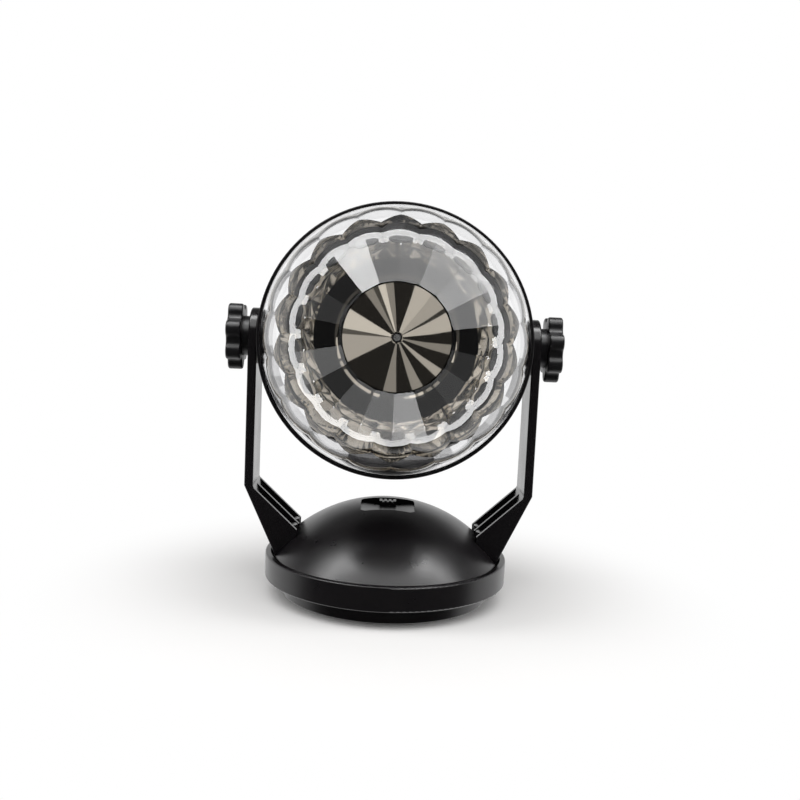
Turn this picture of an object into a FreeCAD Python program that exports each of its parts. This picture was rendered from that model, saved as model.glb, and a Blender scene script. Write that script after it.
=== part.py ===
import FreeCAD, Part
import math
import os

V = FreeCAD.Vector

# Lengths are millimetres and angles degrees. The origin is on the table under the
# middle of the round base, the front of the lamp faces -Y and +Z is up.

# Fits that the whole lamp shares
running_gap = 0.05
press_gap = 0.01
face_gap = 0.05
loose_gap = 0.3
overrun = 3.0

# Base ring and tub
ring_wall = 1.8
ring_top = 14.4
ring_height = 8.2
ring_round = 0.6
tub_floor_t = 1.8

# Lower cover and its rubber feet
cover_margin = 10.35
cover_step = 6.2
cover_wall = 1.8
cover_round = 0.5
foot_drop = 0.5
foot_sink = 0.8
foot_r = 3.6
foot_inset = 5.0
foot_margin = 2.0

# Self-tapping screws of the casing
screw_r = 1.0
screw_head_r = 1.9
screw_head_t = 1.3
screw_slot_w = 0.5
screw_slot_depth = 0.6
screw_boss_r = 2.6
screw_bite = 3.2
cover_screw_inset = 4.0
cover_screw_deg = 22.0

# Cells and their tray
cell_count = 3
cell_r = 5.25
cell_length = 43.5
cell_nub_r = 1.9
cell_nub_t = 1.0
contact_room = 1.7
contact_t = 0.4
contact_w = 6.4
spring_r = 3.4
spring_wire_t = 0.6
tray_wall = 1.2
tray_roof_t = 1.4
tray_corner_r = 3.2
tray_ear_half_x = 16.0
tray_ear_w = 3.0
tray_ear_t = 1.6
clamp_rib_half_x = 14.0
clamp_rib_w = 1.6

# Battery door
door_plate_t = 1.0
door_tab_half_y = 3.6
door_tab_length = 5.2

# Swivel bearing between base and yoke
plate_t = 2.0
plate_leg_x = 10.0
plate_leg_r = 2.6
plate_margin = 0.6
plate_corner_r = 3.0
spigot_r = 4.5
spigot_bore_r = 2.4
spigot_tail = 0.5
clip_t = 0.8
clip_r = 7.0
clip_bite = 0.6
clip_mouth_deg = 70.0
slide_ring_t = 0.5
slide_ring_r = 9.0

# Domed middle of the yoke
swivel_gap = 1.1
dome_sink = 0.7
dome_rise = 19.0
dome_wall = 2.0
hub_r = 9.2
hub_wall = 1.8
hub_floor_t = 1.8
recess_half_x = 9.1
recess_front = 10.6
recess_back = 3.0
recess_depth = 1.8
recess_floor_t = 1.6

# Slide switch
switch_half_x = 6.0
switch_half_y = 2.75
switch_t = 4.0
switch_travel = 3.0
switch_stem_half_x = 1.2
switch_stem_half_y = 0.8
switch_tab_half_x = 2.8
switch_tab_half_y = 1.7
switch_tab_t = 1.5

# Arms of the yoke
head_clearance = 9.3
rim_clearance = 0.47
arm_t = 2.95
arm_width = 19.1
arm_round = 0.6
knee_height = 37.5
fin_drop = 0.5
skin_t = 1.8
skin_inset = 1.15
fin_t = 1.4
fin_reach = 8.1
fin_toe_rise = 0.95
seat_gap = 0.05
arm_boss_inset = 5.5
arm_boss_y = 4.4
arm_boss_rise = 4.3
arm_boss_r = 2.4
arm_pad_r = 3.0
arm_pad_drop = 1.6

# Clamping knobs, studs and washers on the tilt axis
stud_r = 1.95
stud_hole_gap = 0.3
stud_reach = 6.0
insert_r = 3.1
insert_length = 7.0
insert_sink = 0.4
washer_t = 0.5
trunnion_r = 9.2
insert_boss_r = 4.6
collar_r = 6.65
collar_t = 2.4
grip_t = 4.9
grip_r = 11.3
lobe_count = 7
lobe_r = 2.9
grip_round = 0.7
stud_in_grip = 2.6

# Head: round bezel, bowl and rear cap, measured forward from the tilt axis
head_tilt_deg = 5.4
bezel_r = 44.8
bezel_lip = 0.9
bezel_front = 15.9
bezel_joint = 10.0
bezel_round = 0.3
bowl_step = 1.2
bowl_wall = 2.0
bowl_split = -14.0
spigot_fit = 0.4
spigot_ring_t = 1.0
cap_lip_t = 2.0
cap_lip_length = 2.5
ledge_w = 3.0
ledge_t = 2.0
head_boss_inset = 16.1
head_boss_r = 3.4
head_boss_web_t = 2.0
head_boss_deg = (30.0, 150.0, 270.0)
well_wall = 1.4
vent_count = 5
vent_pitch = 5.0
vent_w = 1.6
vent_half_length = 8.0

# Microphone in the rear cap
mic_y = 17.0
mic_r = 3.0
mic_length = 4.0
mic_wall = 1.2
mic_hole_r = 0.7
mic_inset = 5.4

# Chassis plate and what it carries
chassis_t = 2.0
chassis_hub_r = 4.5
chassis_hub_t = 4.0
bush_r = 2.5
bush_flange_r = 3.6
bush_flange_t = 1.2
led_board_w = 14.0
led_board_t = 1.2
led_deg = (210.0, 90.0, 330.0)
led_half = 1.75
led_t = 0.9
lens_r = 3.8
lens_height = 4.8
lens_ball_r = 4.6
lens_cavity_r = 2.7
lens_cavity_t = 1.3

# Chrome cone and dish
dish_gap = 0.4
dish_rim_w = 1.4
dish_rise = 2.2
dish_t = 1.2
cone_margin = 1.5
cone_tip_r = 2.3
cone_bore_r = 1.6
cone_tip_gap = 0.8
cone_wall = 1.6

# Crystal dome
ball_gap = 0.7
ball_standoff = 0.6
ball_wall = 2.2
ball_groove_gap = 0.4
ball_hub_r = 1.8
ball_hub_length = 4.3
ball_hub_cap_t = 0.5
facets_per_row = 18
cap_facet_deg = 21.8
row_tilt_deg = (30.53, 49.9, 66.0)
row_distance_share = (0.98556, 0.98027, 0.975)
row_turn_share = (0.5, 0.0, 0.5)

# Drive shaft, gears and motor
shaft_r = 1.0
shaft_tail = 1.0
shaft_clip_t = 0.4
shaft_clip_r = 2.6
shaft_clip_bite = 0.3
tooth_module = 0.6
gear_teeth = 42
pinion_teeth = 12
tooth_backlash = 0.1
gear_lift = 0.9
gear_t = 3.0
gear_hub_r = 3.5
gear_hub_t = 4.6
pinion_extra_t = 0.3
motor_half_x = 6.0
motor_half_y = 5.0
gearbox_length = 9.0
motor_can_length = 15.0
motor_nose_r = 2.0
motor_nose_t = 0.8
motor_shaft_r = 1.5
motor_shaft_root = 4.0
motor_screw_x = 4.5
motor_screw_r = 0.8
motor_screw_head_r = 1.4
motor_screw_head_t = 0.9
motor_screw_length = 4.5

# Control board behind the chassis plate
board_half_x = 16.0
board_half_y = 10.0
board_y = 15.5
board_t = 1.2
board_gap = 3.3
peg_r = 1.6
peg_pin_r = 0.8
peg_inset = 3.0
chip_half_x = 2.5
chip_half_y = 2.0
chip_t = 1.6
can_r = 2.5
can_length = 6.0
can_x = 9.0

# Heights of the base, from the table up
cover_bottom = foot_drop
cover_floor = cover_bottom + cover_wall
ring_bottom = ring_top - ring_height
tub_floor_top = ring_bottom + tub_floor_t
cell_axis = cover_floor + loose_gap + cell_r
tray_roof = cell_axis + cell_r + loose_gap
tray_top = tray_roof + tray_roof_t
spigot_end = tray_top + spigot_tail
clip_bottom = spigot_end + spigot_tail
plate_bottom = clip_bottom + clip_t + 2 * face_gap
plate_top = plate_bottom + plate_t
hub_bottom = plate_top + slide_ring_t + 2 * face_gap
hub_floor_top = hub_bottom + hub_floor_t

# Plan of the base, outward from the cells
cell_pitch = 2 * cell_r + loose_gap
tray_in_x = 0.5 * cell_length + contact_room
tray_in_y = 0.5 * cell_count * cell_pitch
tray_out_x = tray_in_x + tray_wall
tray_out_y = tray_in_y + tray_wall
cover_r = tray_out_x + cover_margin
ring_outer_r = cover_r + cover_step
ring_inner_r = ring_outer_r - ring_wall
tray_ear_y = tray_out_y + tray_ear_w
plate_leg_y = tray_ear_y + screw_head_r + 3 * loose_gap
plate_half_x = plate_leg_x + plate_leg_r + plate_margin
plate_half_y = plate_leg_y + plate_leg_r + plate_margin

# Dome: the sphere through the edge circle and the top of the dome
dome_edge_r = ring_inner_r - swivel_gap
dome_edge = ring_top - dome_sink
dome_r = (dome_edge_r ** 2 + dome_rise ** 2) / (2 * dome_rise)
dome_centre = dome_edge + dome_rise - dome_r
recess_floor = dome_edge + dome_rise - recess_depth

# Arms, worked out from the bezel that passes between them and over the dome
axle_height = dome_edge + dome_rise + bezel_r + head_clearance
arm_boss_x = dome_edge_r - arm_boss_inset
arm_in_x = bezel_r + rim_clearance
arm_out_x = arm_in_x + arm_t
skin_foot_x = dome_edge_r - skin_inset
skin_lean = (arm_out_x - skin_foot_x) / (knee_height - dome_edge)
skin_dx = skin_t * math.hypot(1, skin_lean)
fin_toe_x = dome_edge_r - fin_reach

# Radii of the head, inward from the bezel
bezel_opening_r = bezel_r - bezel_lip
ball_r = bezel_opening_r - ball_gap
bowl_r = bezel_r - bowl_step
bowl_inner_r = bowl_r - bowl_wall
spigot_ring_r = bowl_inner_r - spigot_fit
chassis_r = spigot_ring_r - loose_gap
ledge_r = spigot_ring_r - ledge_w
head_boss_place_r = bowl_r - head_boss_inset
mic_floor = bowl_inner_r - mic_inset
dish_r = spigot_ring_r - spigot_ring_t - dish_gap
led_board_r = dish_r - dish_rim_w - dish_gap
led_board_hole_r = led_board_r - led_board_w
led_place_r = led_board_r - lens_r - dish_gap
cone_base_r = led_place_r - lens_r - cone_margin

# Stack along the head's own axis, forward from the tilt axis
chassis_front = bezel_joint - 3 * spigot_ring_t
chassis_back = chassis_front - chassis_t
board_front = chassis_front + led_board_t
dish_back = chassis_front + dish_rise
dish_front = dish_back + dish_t
bush_top = chassis_front + bush_flange_t
bush_bottom = chassis_back - chassis_hub_t
ball_centre = bezel_front + ball_standoff
ball_groove = bezel_joint + 2 * spigot_ring_t
skirt_end = ball_groove + ball_groove_gap
cap_plane = ball_centre + ball_r * math.cos(math.radians(cap_facet_deg))
cap_inside = cap_plane - ball_wall
cone_tip = cap_inside - ball_hub_length - cone_tip_gap
gear_back = bush_top + gear_lift
mesh_distance = 0.5 * tooth_module * (gear_teeth + pinion_teeth)
trunnion_face = arm_in_x - washer_t - 2 * face_gap


def turned(points):
    """Solid turned about Z from an outline of (radius, height) points."""
    corners = [V(radius, 0, height) for radius, height in points]
    outline = Part.makePolygon(corners + [corners[0]])
    return Part.Face(outline).revolve(V(0, 0, 0), V(0, 0, 1), 360)


def post(radius, low, high, x=0, y=0):
    """Upright cylinder from one height to another."""
    return Part.makeCylinder(radius, high - low, V(x, y, low))


def tube(radius, hole, low, high, x=0, y=0):
    """Upright tube."""
    hollow = post(hole, low - overrun, high + overrun, x, y)
    return post(radius, low, high, x, y).cut(hollow)


def axle(radius, left, right):
    """Cylinder along X, centred on the local origin."""
    return Part.makeCylinder(radius, right - left, V(left, 0, 0), V(1, 0, 0))


def block(x0, x1, y0, y1, z0, z1):
    """Box between two opposite corners."""
    return Part.makeBox(x1 - x0, y1 - y0, z1 - z0, V(x0, y0, z0))


def slab(half_x, half_y, corner, low, high, x=0, y=0):
    """Flat plate with round corners."""
    plate = block(x - half_x, x + half_x, y - half_y, y + half_y, low, high)
    upright = [e for e in plate.Edges if abs(e.Vertexes[0].Z - e.Vertexes[1].Z) > 0.5 * (high - low)]
    return plate.makeFillet(corner, upright)


def ball_band(radius, wall, centre, low, high):
    """Zone of a hollow ball between two heights."""
    hollow = Part.makeSphere(radius, V(0, 0, centre)).cut(Part.makeSphere(radius - wall, V(0, 0, centre)))
    return hollow.common(post(2 * radius, low, high))


def prism(points, y0, y1):
    """Upright plate: an outline of (x, z) points carried along Y."""
    corners = [V(x, y0, z) for x, z in points]
    outline = Part.makePolygon(corners + [corners[0]])
    return Part.Face(outline).extrude(V(0, y1 - y0, 0))


def soften_rings(shape, radius, places):
    """Rounds the circular edges that lie at the given (radius, height) places."""
    chosen = []
    for edge in shape.Edges:
        if not isinstance(edge.Curve, Part.Circle):
            continue
        here = (edge.Curve.Radius, edge.Curve.Center.z)
        if any(math.dist(here, place) < press_gap for place in places):
            chosen.append(edge)
    return shape.makeFillet(radius, chosen)


def screw(length, shank_r=screw_r, head_r=screw_head_r, head_t=screw_head_t):
    """Pan-head screw pointing up, the underside of its head at height zero."""
    head = post(head_r, -head_t, 0)
    slot_depth = min(screw_slot_depth, 0.6 * head_t)
    slot_half = 0.7 * head_r
    for turn in (0, 90):
        half_w = 0.5 * screw_slot_w
        slot = block(-slot_half, slot_half, -half_w, half_w, -head_t, slot_depth - head_t)
        slot.rotate(V(0, 0, 0), V(0, 0, 1), turn)
        head = head.cut(slot)
    return head.fuse(post(shank_r, 0, length))


def moved(shape, x, y, z):
    """Copy of a shape, shifted."""
    copy = shape.copy()
    copy.translate(V(x, y, z))
    return copy


def flipped(shape):
    """Copy of a shape, turned over so that up becomes down."""
    copy = shape.copy()
    copy.rotate(V(0, 0, 0), V(1, 0, 0), 180)
    return copy


def polar(radius, degrees):
    """Point at a radius and an angle."""
    angle = math.radians(degrees)
    return radius * math.cos(angle), radius * math.sin(angle)


def four_corners(x, y):
    """The same place in each quarter of the plan."""
    return [(x, y), (-x, y), (-x, -y), (x, -y)]


def save(name, shape):
    """Writes one sub-part."""
    shape.exportStep(f"parts/{name}.step")


def save_in_head(name, shape):
    """Writes a sub-part drawn with Z along the head's axis, leaned back on its tilt axis."""
    placed = shape.copy()
    placed.rotate(V(0, 0, 0), V(1, 0, 0), 90 - head_tilt_deg)
    placed.translate(V(0, 0, axle_height))
    save(name, placed)


cover_screw_x, cover_screw_y = polar(cover_r - cover_screw_inset, cover_screw_deg)
cover_screw_spots = four_corners(cover_screw_x, cover_screw_y)
foot_y = tray_out_y + foot_margin + foot_r
foot_x = math.sqrt((cover_r - foot_inset) ** 2 - foot_y ** 2)
foot_spots = four_corners(foot_x, foot_y)
leg_spots = four_corners(plate_leg_x, plate_leg_y)
cover_screw_seat = cover_bottom + screw_head_t + cover_wall
tub_post_top = tub_floor_top + screw_bite + screw_r
door_screw_x = tray_out_x + 0.5 * door_tab_length
door_boss_top = cover_floor + screw_bite


def base_tub():
    """Round tub: outer ring, floor with the tray's opening, posts for the cover screws."""
    ring = turned([
        (ring_inner_r, ring_bottom), (ring_outer_r, ring_bottom),
        (ring_outer_r, ring_top), (ring_inner_r, ring_top),
    ])
    edges = [(ring_outer_r, ring_top), (ring_outer_r, ring_bottom)]
    ring = soften_rings(ring, min(ring_round, 0.4 * ring_wall), edges)
    tub = ring.fuse(post(ring_inner_r + 0.5 * ring_wall, ring_bottom, tub_floor_top))
    for x, y in cover_screw_spots:
        tub = tub.fuse(post(screw_boss_r, ring_bottom, tub_post_top, x, y))
    opening = slab(
        tray_out_x + loose_gap, tray_out_y + loose_gap, tray_corner_r + loose_gap,
        ring_bottom - overrun, tub_floor_top + overrun,
    )
    tub = tub.cut(opening)
    for x, y in cover_screw_spots:
        tub = tub.cut(post(screw_r + press_gap, ring_bottom - overrun, tub_post_top - 0.5 * screw_r, x, y))
    for x, y in leg_spots:
        tub = tub.cut(post(screw_r + running_gap, ring_bottom - overrun, tub_floor_top + overrun, x, y))
    return tub.removeSplitter()


def door_outline(gap, low, high):
    """Outside face of the battery door with its screw tab, larger all round by the gap."""
    lid = slab(tray_out_x + gap, tray_out_y + gap, tray_corner_r + gap, low, high)
    tab_end = tray_out_x + door_tab_length
    tab = block(0, tab_end + gap, -door_tab_half_y - gap, door_tab_half_y + gap, low, high)
    return lid.fuse(tab).removeSplitter()


def bottom_cover():
    """Stepped lower shell that closes the tub and holds the battery door and the feet."""
    cup = turned([
        (0, cover_bottom), (cover_r, cover_bottom), (cover_r, ring_bottom),
        (cover_r - cover_wall, ring_bottom), (cover_r - cover_wall, cover_floor), (0, cover_floor),
    ])
    cup = soften_rings(cup, cover_round, [(cover_r, cover_bottom)])
    for x, y in cover_screw_spots:
        cup = cup.fuse(post(screw_boss_r + 0.5 * screw_r, cover_bottom, ring_bottom, x, y))
    cup = cup.fuse(post(screw_boss_r, cover_bottom, door_boss_top, door_screw_x, 0))
    for side in (-1, 1):
        rib_mid = side * (tray_out_y + 0.5 * tray_ear_w)
        rib = block(
            -clamp_rib_half_x, clamp_rib_half_x, rib_mid - 0.5 * clamp_rib_w, rib_mid + 0.5 * clamp_rib_w,
            cover_bottom, ring_bottom - tray_ear_t,
        )
        cup = cup.fuse(rib)
    inside = slab(tray_in_x, tray_in_y, tray_corner_r - tray_wall, cover_bottom - overrun, ring_bottom)
    cup = cup.cut(inside)
    door_room = door_outline(loose_gap, cover_bottom - overrun, cover_bottom + door_plate_t + face_gap)
    cup = cup.cut(door_room)
    cup = cup.cut(post(screw_r + press_gap, cover_bottom, door_boss_top - 0.5 * screw_r, door_screw_x, 0))
    for x, y in cover_screw_spots:
        cup = cup.cut(post(screw_head_r + loose_gap, cover_bottom - overrun, cover_screw_seat, x, y))
        cup = cup.cut(post(screw_r + running_gap, cover_bottom, ring_bottom + overrun, x, y))
    for x, y in foot_spots:
        cup = cup.cut(post(foot_r + press_gap, cover_bottom - overrun, cover_bottom + foot_sink, x, y))
    return cup.removeSplitter()


def battery_door():
    """Flat door with a raised pad that centres it in the opening and a screw tab."""
    lid = door_outline(0, cover_bottom, cover_bottom + door_plate_t)
    pad = slab(
        tray_in_x - loose_gap, tray_in_y - loose_gap, tray_corner_r - tray_wall,
        cover_bottom, cover_floor,
    )
    lid = lid.fuse(pad)
    lid = lid.cut(post(screw_r + running_gap, cover_bottom - overrun, cover_floor + overrun, door_screw_x, 0))
    head_room = cover_bottom + 0.5 * door_plate_t
    lid = lid.cut(post(screw_head_r + running_gap, cover_bottom - overrun, head_room, door_screw_x, 0))
    return lid.removeSplitter()


def door_screw():
    """Flat-head screw of the battery door."""
    short = screw(door_boss_top - screw_r - cover_bottom - 0.5 * door_plate_t, head_t=0.5 * door_plate_t)
    return moved(short, door_screw_x, 0, cover_bottom + 0.5 * door_plate_t)


def battery_tray():
    """Box for the cells, open below, hung in the tub by an ear along each long side."""
    tray = slab(tray_out_x, tray_out_y, tray_corner_r, cover_floor, tray_top)
    ears = block(
        -tray_ear_half_x, tray_ear_half_x, -tray_ear_y, tray_ear_y, ring_bottom - tray_ear_t, ring_bottom,
    )
    inside = slab(tray_in_x, tray_in_y, tray_corner_r - tray_wall, cover_floor - overrun, tray_roof)
    return tray.fuse(ears).cut(inside).removeSplitter()


def cell_places():
    """Sideways place and direction of each cell; neighbours lie head to tail."""
    first = -0.5 * (cell_count - 1) * cell_pitch
    return [(first + n * cell_pitch, 1 if n % 2 == 0 else -1) for n in range(cell_count)]


def battery_cells():
    """Small round cells, each with its raised positive cap."""
    cells = []
    for y, way in cell_places():
        body_length = cell_length - cell_nub_t
        body = axle(cell_r, -0.5 * cell_length, -0.5 * cell_length + body_length)
        cell = body.fuse(axle(cell_nub_r, 0, 0.5 * cell_length))
        if way < 0:
            cell.rotate(V(0, 0, 0), V(0, 0, 1), 180)
        cells.append(moved(cell, 0, y, cell_axis))
    return Part.makeCompound(cells)


def battery_contacts():
    """Plated contact strips at both ends of every cell, pressed outward into a dimple at the cap."""
    strips = []
    reach = contact_room - contact_t - running_gap
    for y, way in cell_places():
        for end in (-1, 1):
            wall_x = end * tray_in_x
            inner_x = wall_x - end * contact_t
            low_x, high_x = sorted((wall_x, inner_x))
            half_w = 0.5 * contact_w
            strip = block(low_x, high_x, y - half_w, y + half_w, cell_axis - half_w, cell_axis + half_w)
            if end == way:
                dimple = axle(0.6 * cell_nub_r, 0, reach + 0.5 * contact_t)
                start = inner_x - end * reach if end > 0 else inner_x - 0.5 * contact_t
                strip = strip.fuse(moved(dimple, start, y, cell_axis))
            strips.append(strip)
    return Part.makeCompound(strips)


def contact_springs():
    """Cone-shaped springs behind the flat ends of the cells."""
    springs = []
    height = contact_room - contact_t - 2 * running_gap
    for y, way in cell_places():
        cone = Part.makeCone(spring_r, 0.6 * spring_r, height)
        core = Part.makeCone(spring_r - spring_wire_t, 0.6 * spring_r - spring_wire_t, height)
        shell = cone.cut(core)
        shell.rotate(V(0, 0, 0), V(0, 1, 0), 90 * way)
        wall_x = -way * (tray_in_x - contact_t - running_gap)
        springs.append(moved(shell, wall_x, y, cell_axis))
    return Part.makeCompound(springs)


def rubber_feet():
    """Four round stick-on feet sunk in the cover."""
    return Part.makeCompound([post(foot_r, 0, cover_bottom + foot_sink, x, y) for x, y in foot_spots])


def cover_screws():
    """Screws that hold the lower cover to the tub."""
    long_screw = screw(tub_post_top - screw_r - cover_screw_seat)
    return Part.makeCompound([moved(long_screw, x, y, cover_screw_seat) for x, y in cover_screw_spots])


def swivel_plate():
    """Bridge over the tray with the bearing hole of the swivel and four legs on the tub floor."""
    plate = slab(plate_half_x, plate_half_y, plate_corner_r, plate_bottom, plate_top)
    for x, y in leg_spots:
        plate = plate.fuse(post(plate_leg_r, tub_floor_top, plate_top, x, y))
    plate = plate.cut(post(spigot_r + running_gap, plate_bottom - overrun, plate_top + overrun))
    bore_top = tub_floor_top + screw_bite + screw_r
    for x, y in leg_spots:
        plate = plate.cut(post(screw_r + press_gap, tub_floor_top, bore_top, x, y))
    return plate.removeSplitter()


def plate_screws():
    """Screws up through the tub floor into the legs of the swivel plate."""
    short = screw(tub_floor_t + screw_bite)
    return Part.makeCompound([moved(short, x, y, ring_bottom) for x, y in leg_spots])


def slide_ring():
    """Slippery washer that the yoke turns on."""
    low = plate_top + face_gap
    return tube(slide_ring_r, spigot_r + 2 * running_gap, low, low + slide_ring_t)


def retaining_clip():
    """Open spring clip in the groove of the spigot, under the swivel plate."""
    ring = tube(clip_r, spigot_r - clip_bite + running_gap, clip_bottom, clip_bottom + clip_t)
    mouth_x, mouth_y = polar(2 * clip_r, 0.5 * clip_mouth_deg)
    wedge = [V(0, 0, clip_bottom - overrun), V(mouth_x, mouth_y, clip_bottom - overrun)]
    wedge.append(V(mouth_x, -mouth_y, clip_bottom - overrun))
    mouth = Part.Face(Part.makePolygon(wedge + [wedge[0]])).extrude(V(0, 0, clip_t + 2 * overrun))
    return ring.cut(mouth)


def dome_ball(radius):
    """Full ball on the centre of the dome's curve."""
    return Part.makeSphere(radius, V(0, 0, dome_centre))


arm_boss_spots = [(side * arm_boss_x, y) for side in (-1, 1) for y in (-arm_boss_y, arm_boss_y)]
dome_at_boss = dome_centre + math.sqrt(dome_r ** 2 - arm_boss_x ** 2 - arm_boss_y ** 2)
arm_pad_bottom = dome_at_boss - dome_wall * dome_r / (dome_at_boss - dome_centre) - arm_pad_drop
arm_boss_top = dome_at_boss + arm_boss_rise


def yoke_dome():
    """Domed turntable: shell, hub with the bearing spigot, switch recess and pads for the arms."""
    shell = ball_band(dome_r, dome_wall, dome_centre, dome_edge, dome_edge + 2 * dome_r)
    recess_mid = 0.5 * (recess_back - recess_front)
    recess_half_y = 0.5 * (recess_back + recess_front)
    bed = block(
        -recess_half_x - dome_wall, recess_half_x + dome_wall,
        -recess_front - dome_wall, recess_back + dome_wall,
        recess_floor - recess_floor_t, recess_floor + recess_depth,
    )
    inside = [tube(hub_r, hub_r - hub_wall, hub_bottom, recess_floor), bed]
    inside.append(post(hub_r, hub_bottom, hub_floor_top))
    for x, y in arm_boss_spots:
        inside.append(post(arm_pad_r, arm_pad_bottom, dome_at_boss, x, y))
    for piece in inside:
        shell = shell.fuse(piece.common(dome_ball(dome_r - 0.5 * dome_wall)))
    shell = shell.fuse(post(spigot_r, spigot_end, hub_floor_top))
    recess = slab(
        recess_half_x, recess_half_y, recess_floor_t, recess_floor, recess_floor + overrun, y=recess_mid,
    )
    slot_half_x = switch_travel + switch_stem_half_x + loose_gap
    slot_half_y = switch_stem_half_y + loose_gap
    slot = block(
        -slot_half_x, slot_half_x, -slot_half_y, slot_half_y,
        recess_floor - recess_floor_t - overrun, recess_floor + overrun,
    )
    groove = tube(2 * spigot_r, spigot_r - clip_bite, clip_bottom - face_gap, clip_bottom + clip_t + face_gap)
    shell = shell.cut(recess).cut(slot).cut(groove)
    shell = shell.cut(post(spigot_bore_r, spigot_end - overrun, hub_floor_top + overrun))
    for x, y in arm_boss_spots:
        shell = shell.cut(post(screw_head_r + running_gap, arm_pad_bottom - overrun, arm_pad_bottom, x, y))
        shell = shell.cut(post(screw_r + running_gap, arm_pad_bottom - overrun, dome_at_boss + overrun, x, y))
    return shell.removeSplitter()


def skin_x(height):
    """Outside face of the slanted lower part of an arm."""
    return skin_foot_x + skin_lean * (height - dome_edge)


def right_arm():
    """Flat strap with a round top end, a slanted foot skin and three fins that stiffen the knee."""
    half_w = 0.5 * arm_width
    bend = knee_height - skin_dx / skin_lean + arm_t / skin_lean
    strap = prism([
        (arm_out_x, axle_height + half_w), (arm_out_x, knee_height), (skin_foot_x, dome_edge),
        (skin_foot_x - skin_dx, dome_edge), (arm_in_x, min(bend, knee_height)),
        (arm_in_x, axle_height + half_w),
    ], -half_w, half_w)
    face = axle(half_w, 0, 2 * arm_out_x)
    face.translate(V(0, 0, axle_height))
    face = face.fuse(block(0, 2 * arm_out_x, -half_w, half_w, 0, axle_height))
    strap = strap.common(face).removeSplitter()
    rounding = min(arm_round, 0.3 * arm_t, 0.4 * skin_t)
    outer = [e for e in strap.Edges if on_arm_outline(e, half_w)]
    strap = strap.makeFillet(rounding, outer)
    fin_top = knee_height - fin_drop
    toe_z = dome_centre + math.sqrt(dome_r ** 2 - fin_toe_x ** 2) + fin_toe_rise
    outline = [
        (arm_out_x - 0.5 * arm_t, fin_top), (arm_in_x, fin_top), (fin_toe_x, toe_z),
        (fin_toe_x, dome_edge), (skin_foot_x - 0.5 * skin_dx, dome_edge),
    ]
    for middle in (fin_t / 2 - half_w, 0, half_w - fin_t / 2):
        strap = strap.fuse(prism(outline, middle - fin_t / 2, middle + fin_t / 2))
    for y in (-arm_boss_y, arm_boss_y):
        strap = strap.fuse(post(arm_boss_r, dome_edge, arm_boss_top, arm_boss_x, y))
        web = [
            (arm_boss_x, dome_edge), (arm_boss_x, arm_boss_top),
            (skin_x(arm_boss_top) - 0.5 * skin_dx, arm_boss_top), (skin_foot_x - 0.5 * skin_dx, dome_edge),
        ]
        strap = strap.fuse(prism(web, y - fin_t / 2, y + fin_t / 2))
    strap = strap.cut(dome_ball(dome_r + seat_gap))
    for y in (-arm_boss_y, arm_boss_y):
        strap = strap.cut(post(screw_r + press_gap, dome_edge, arm_boss_top - 0.5 * screw_r, arm_boss_x, y))
    hole = axle(stud_r + stud_hole_gap, 0, 2 * arm_out_x)
    hole.translate(V(0, 0, axle_height))
    return strap.cut(hole).removeSplitter()


def on_arm_outline(edge, half_w):
    """True for the long edges of the strap's outside and inside faces, not for those across it."""
    if isinstance(edge.Curve, Part.Circle):
        return True
    ends = [v.Point for v in edge.Vertexes]
    along_side = all(abs(abs(p.y) - half_w) < press_gap for p in ends)
    return along_side and ends[0].y * ends[1].y > 0 and abs(ends[0].z - ends[1].z) > arm_t


def arm_screws():
    """Screws up through the dome into the feet of the arms."""
    short = screw(arm_boss_top - screw_r - arm_pad_bottom)
    return Part.makeCompound([moved(short, x, y, arm_pad_bottom) for x, y in arm_boss_spots])


def switch_body():
    """Case of the slide switch, hung under the recess floor inside the hub."""
    top = recess_floor - recess_floor_t
    case = block(-switch_half_x, switch_half_x, -switch_half_y, switch_half_y, top - switch_t, top)
    slot_half_x = switch_travel + switch_stem_half_x + loose_gap
    slot_half_y = switch_stem_half_y + running_gap
    slot = block(-slot_half_x, slot_half_x, -slot_half_y, slot_half_y, top - 0.5 * switch_t, top + overrun)
    case = case.cut(slot)
    pin_half = 0.3 * switch_stem_half_y
    for n in (-1, 0, 1):
        x = 0.6 * n * switch_half_x
        legs = block(x - pin_half, x + pin_half, -pin_half, pin_half, top - 1.6 * switch_t, top - switch_t)
        case = case.fuse(legs)
    return case


def switch_slider():
    """Thumb tab with cross grooves, and its stem down into the switch."""
    tab_bottom = recess_floor + face_gap
    tab_top = tab_bottom + switch_tab_t
    tab = block(
        -switch_tab_half_x, switch_tab_half_x, -switch_tab_half_y, switch_tab_half_y, tab_bottom, tab_top,
    )
    groove_half = 0.12 * switch_tab_half_x
    for n in (-1, 0, 1):
        x = 0.55 * n * switch_tab_half_x
        groove = block(
            x - groove_half, x + groove_half, -switch_tab_half_y, switch_tab_half_y,
            tab_top - groove_half, tab_top + overrun,
        )
        tab = tab.cut(groove)
    stem_bottom = recess_floor - recess_floor_t - 0.4 * switch_t
    stem = block(
        -switch_stem_half_x, switch_stem_half_x, -switch_stem_half_y, switch_stem_half_y,
        stem_bottom, tab_bottom + 0.5 * switch_tab_t,
    )
    return tab.fuse(stem).removeSplitter()


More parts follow.
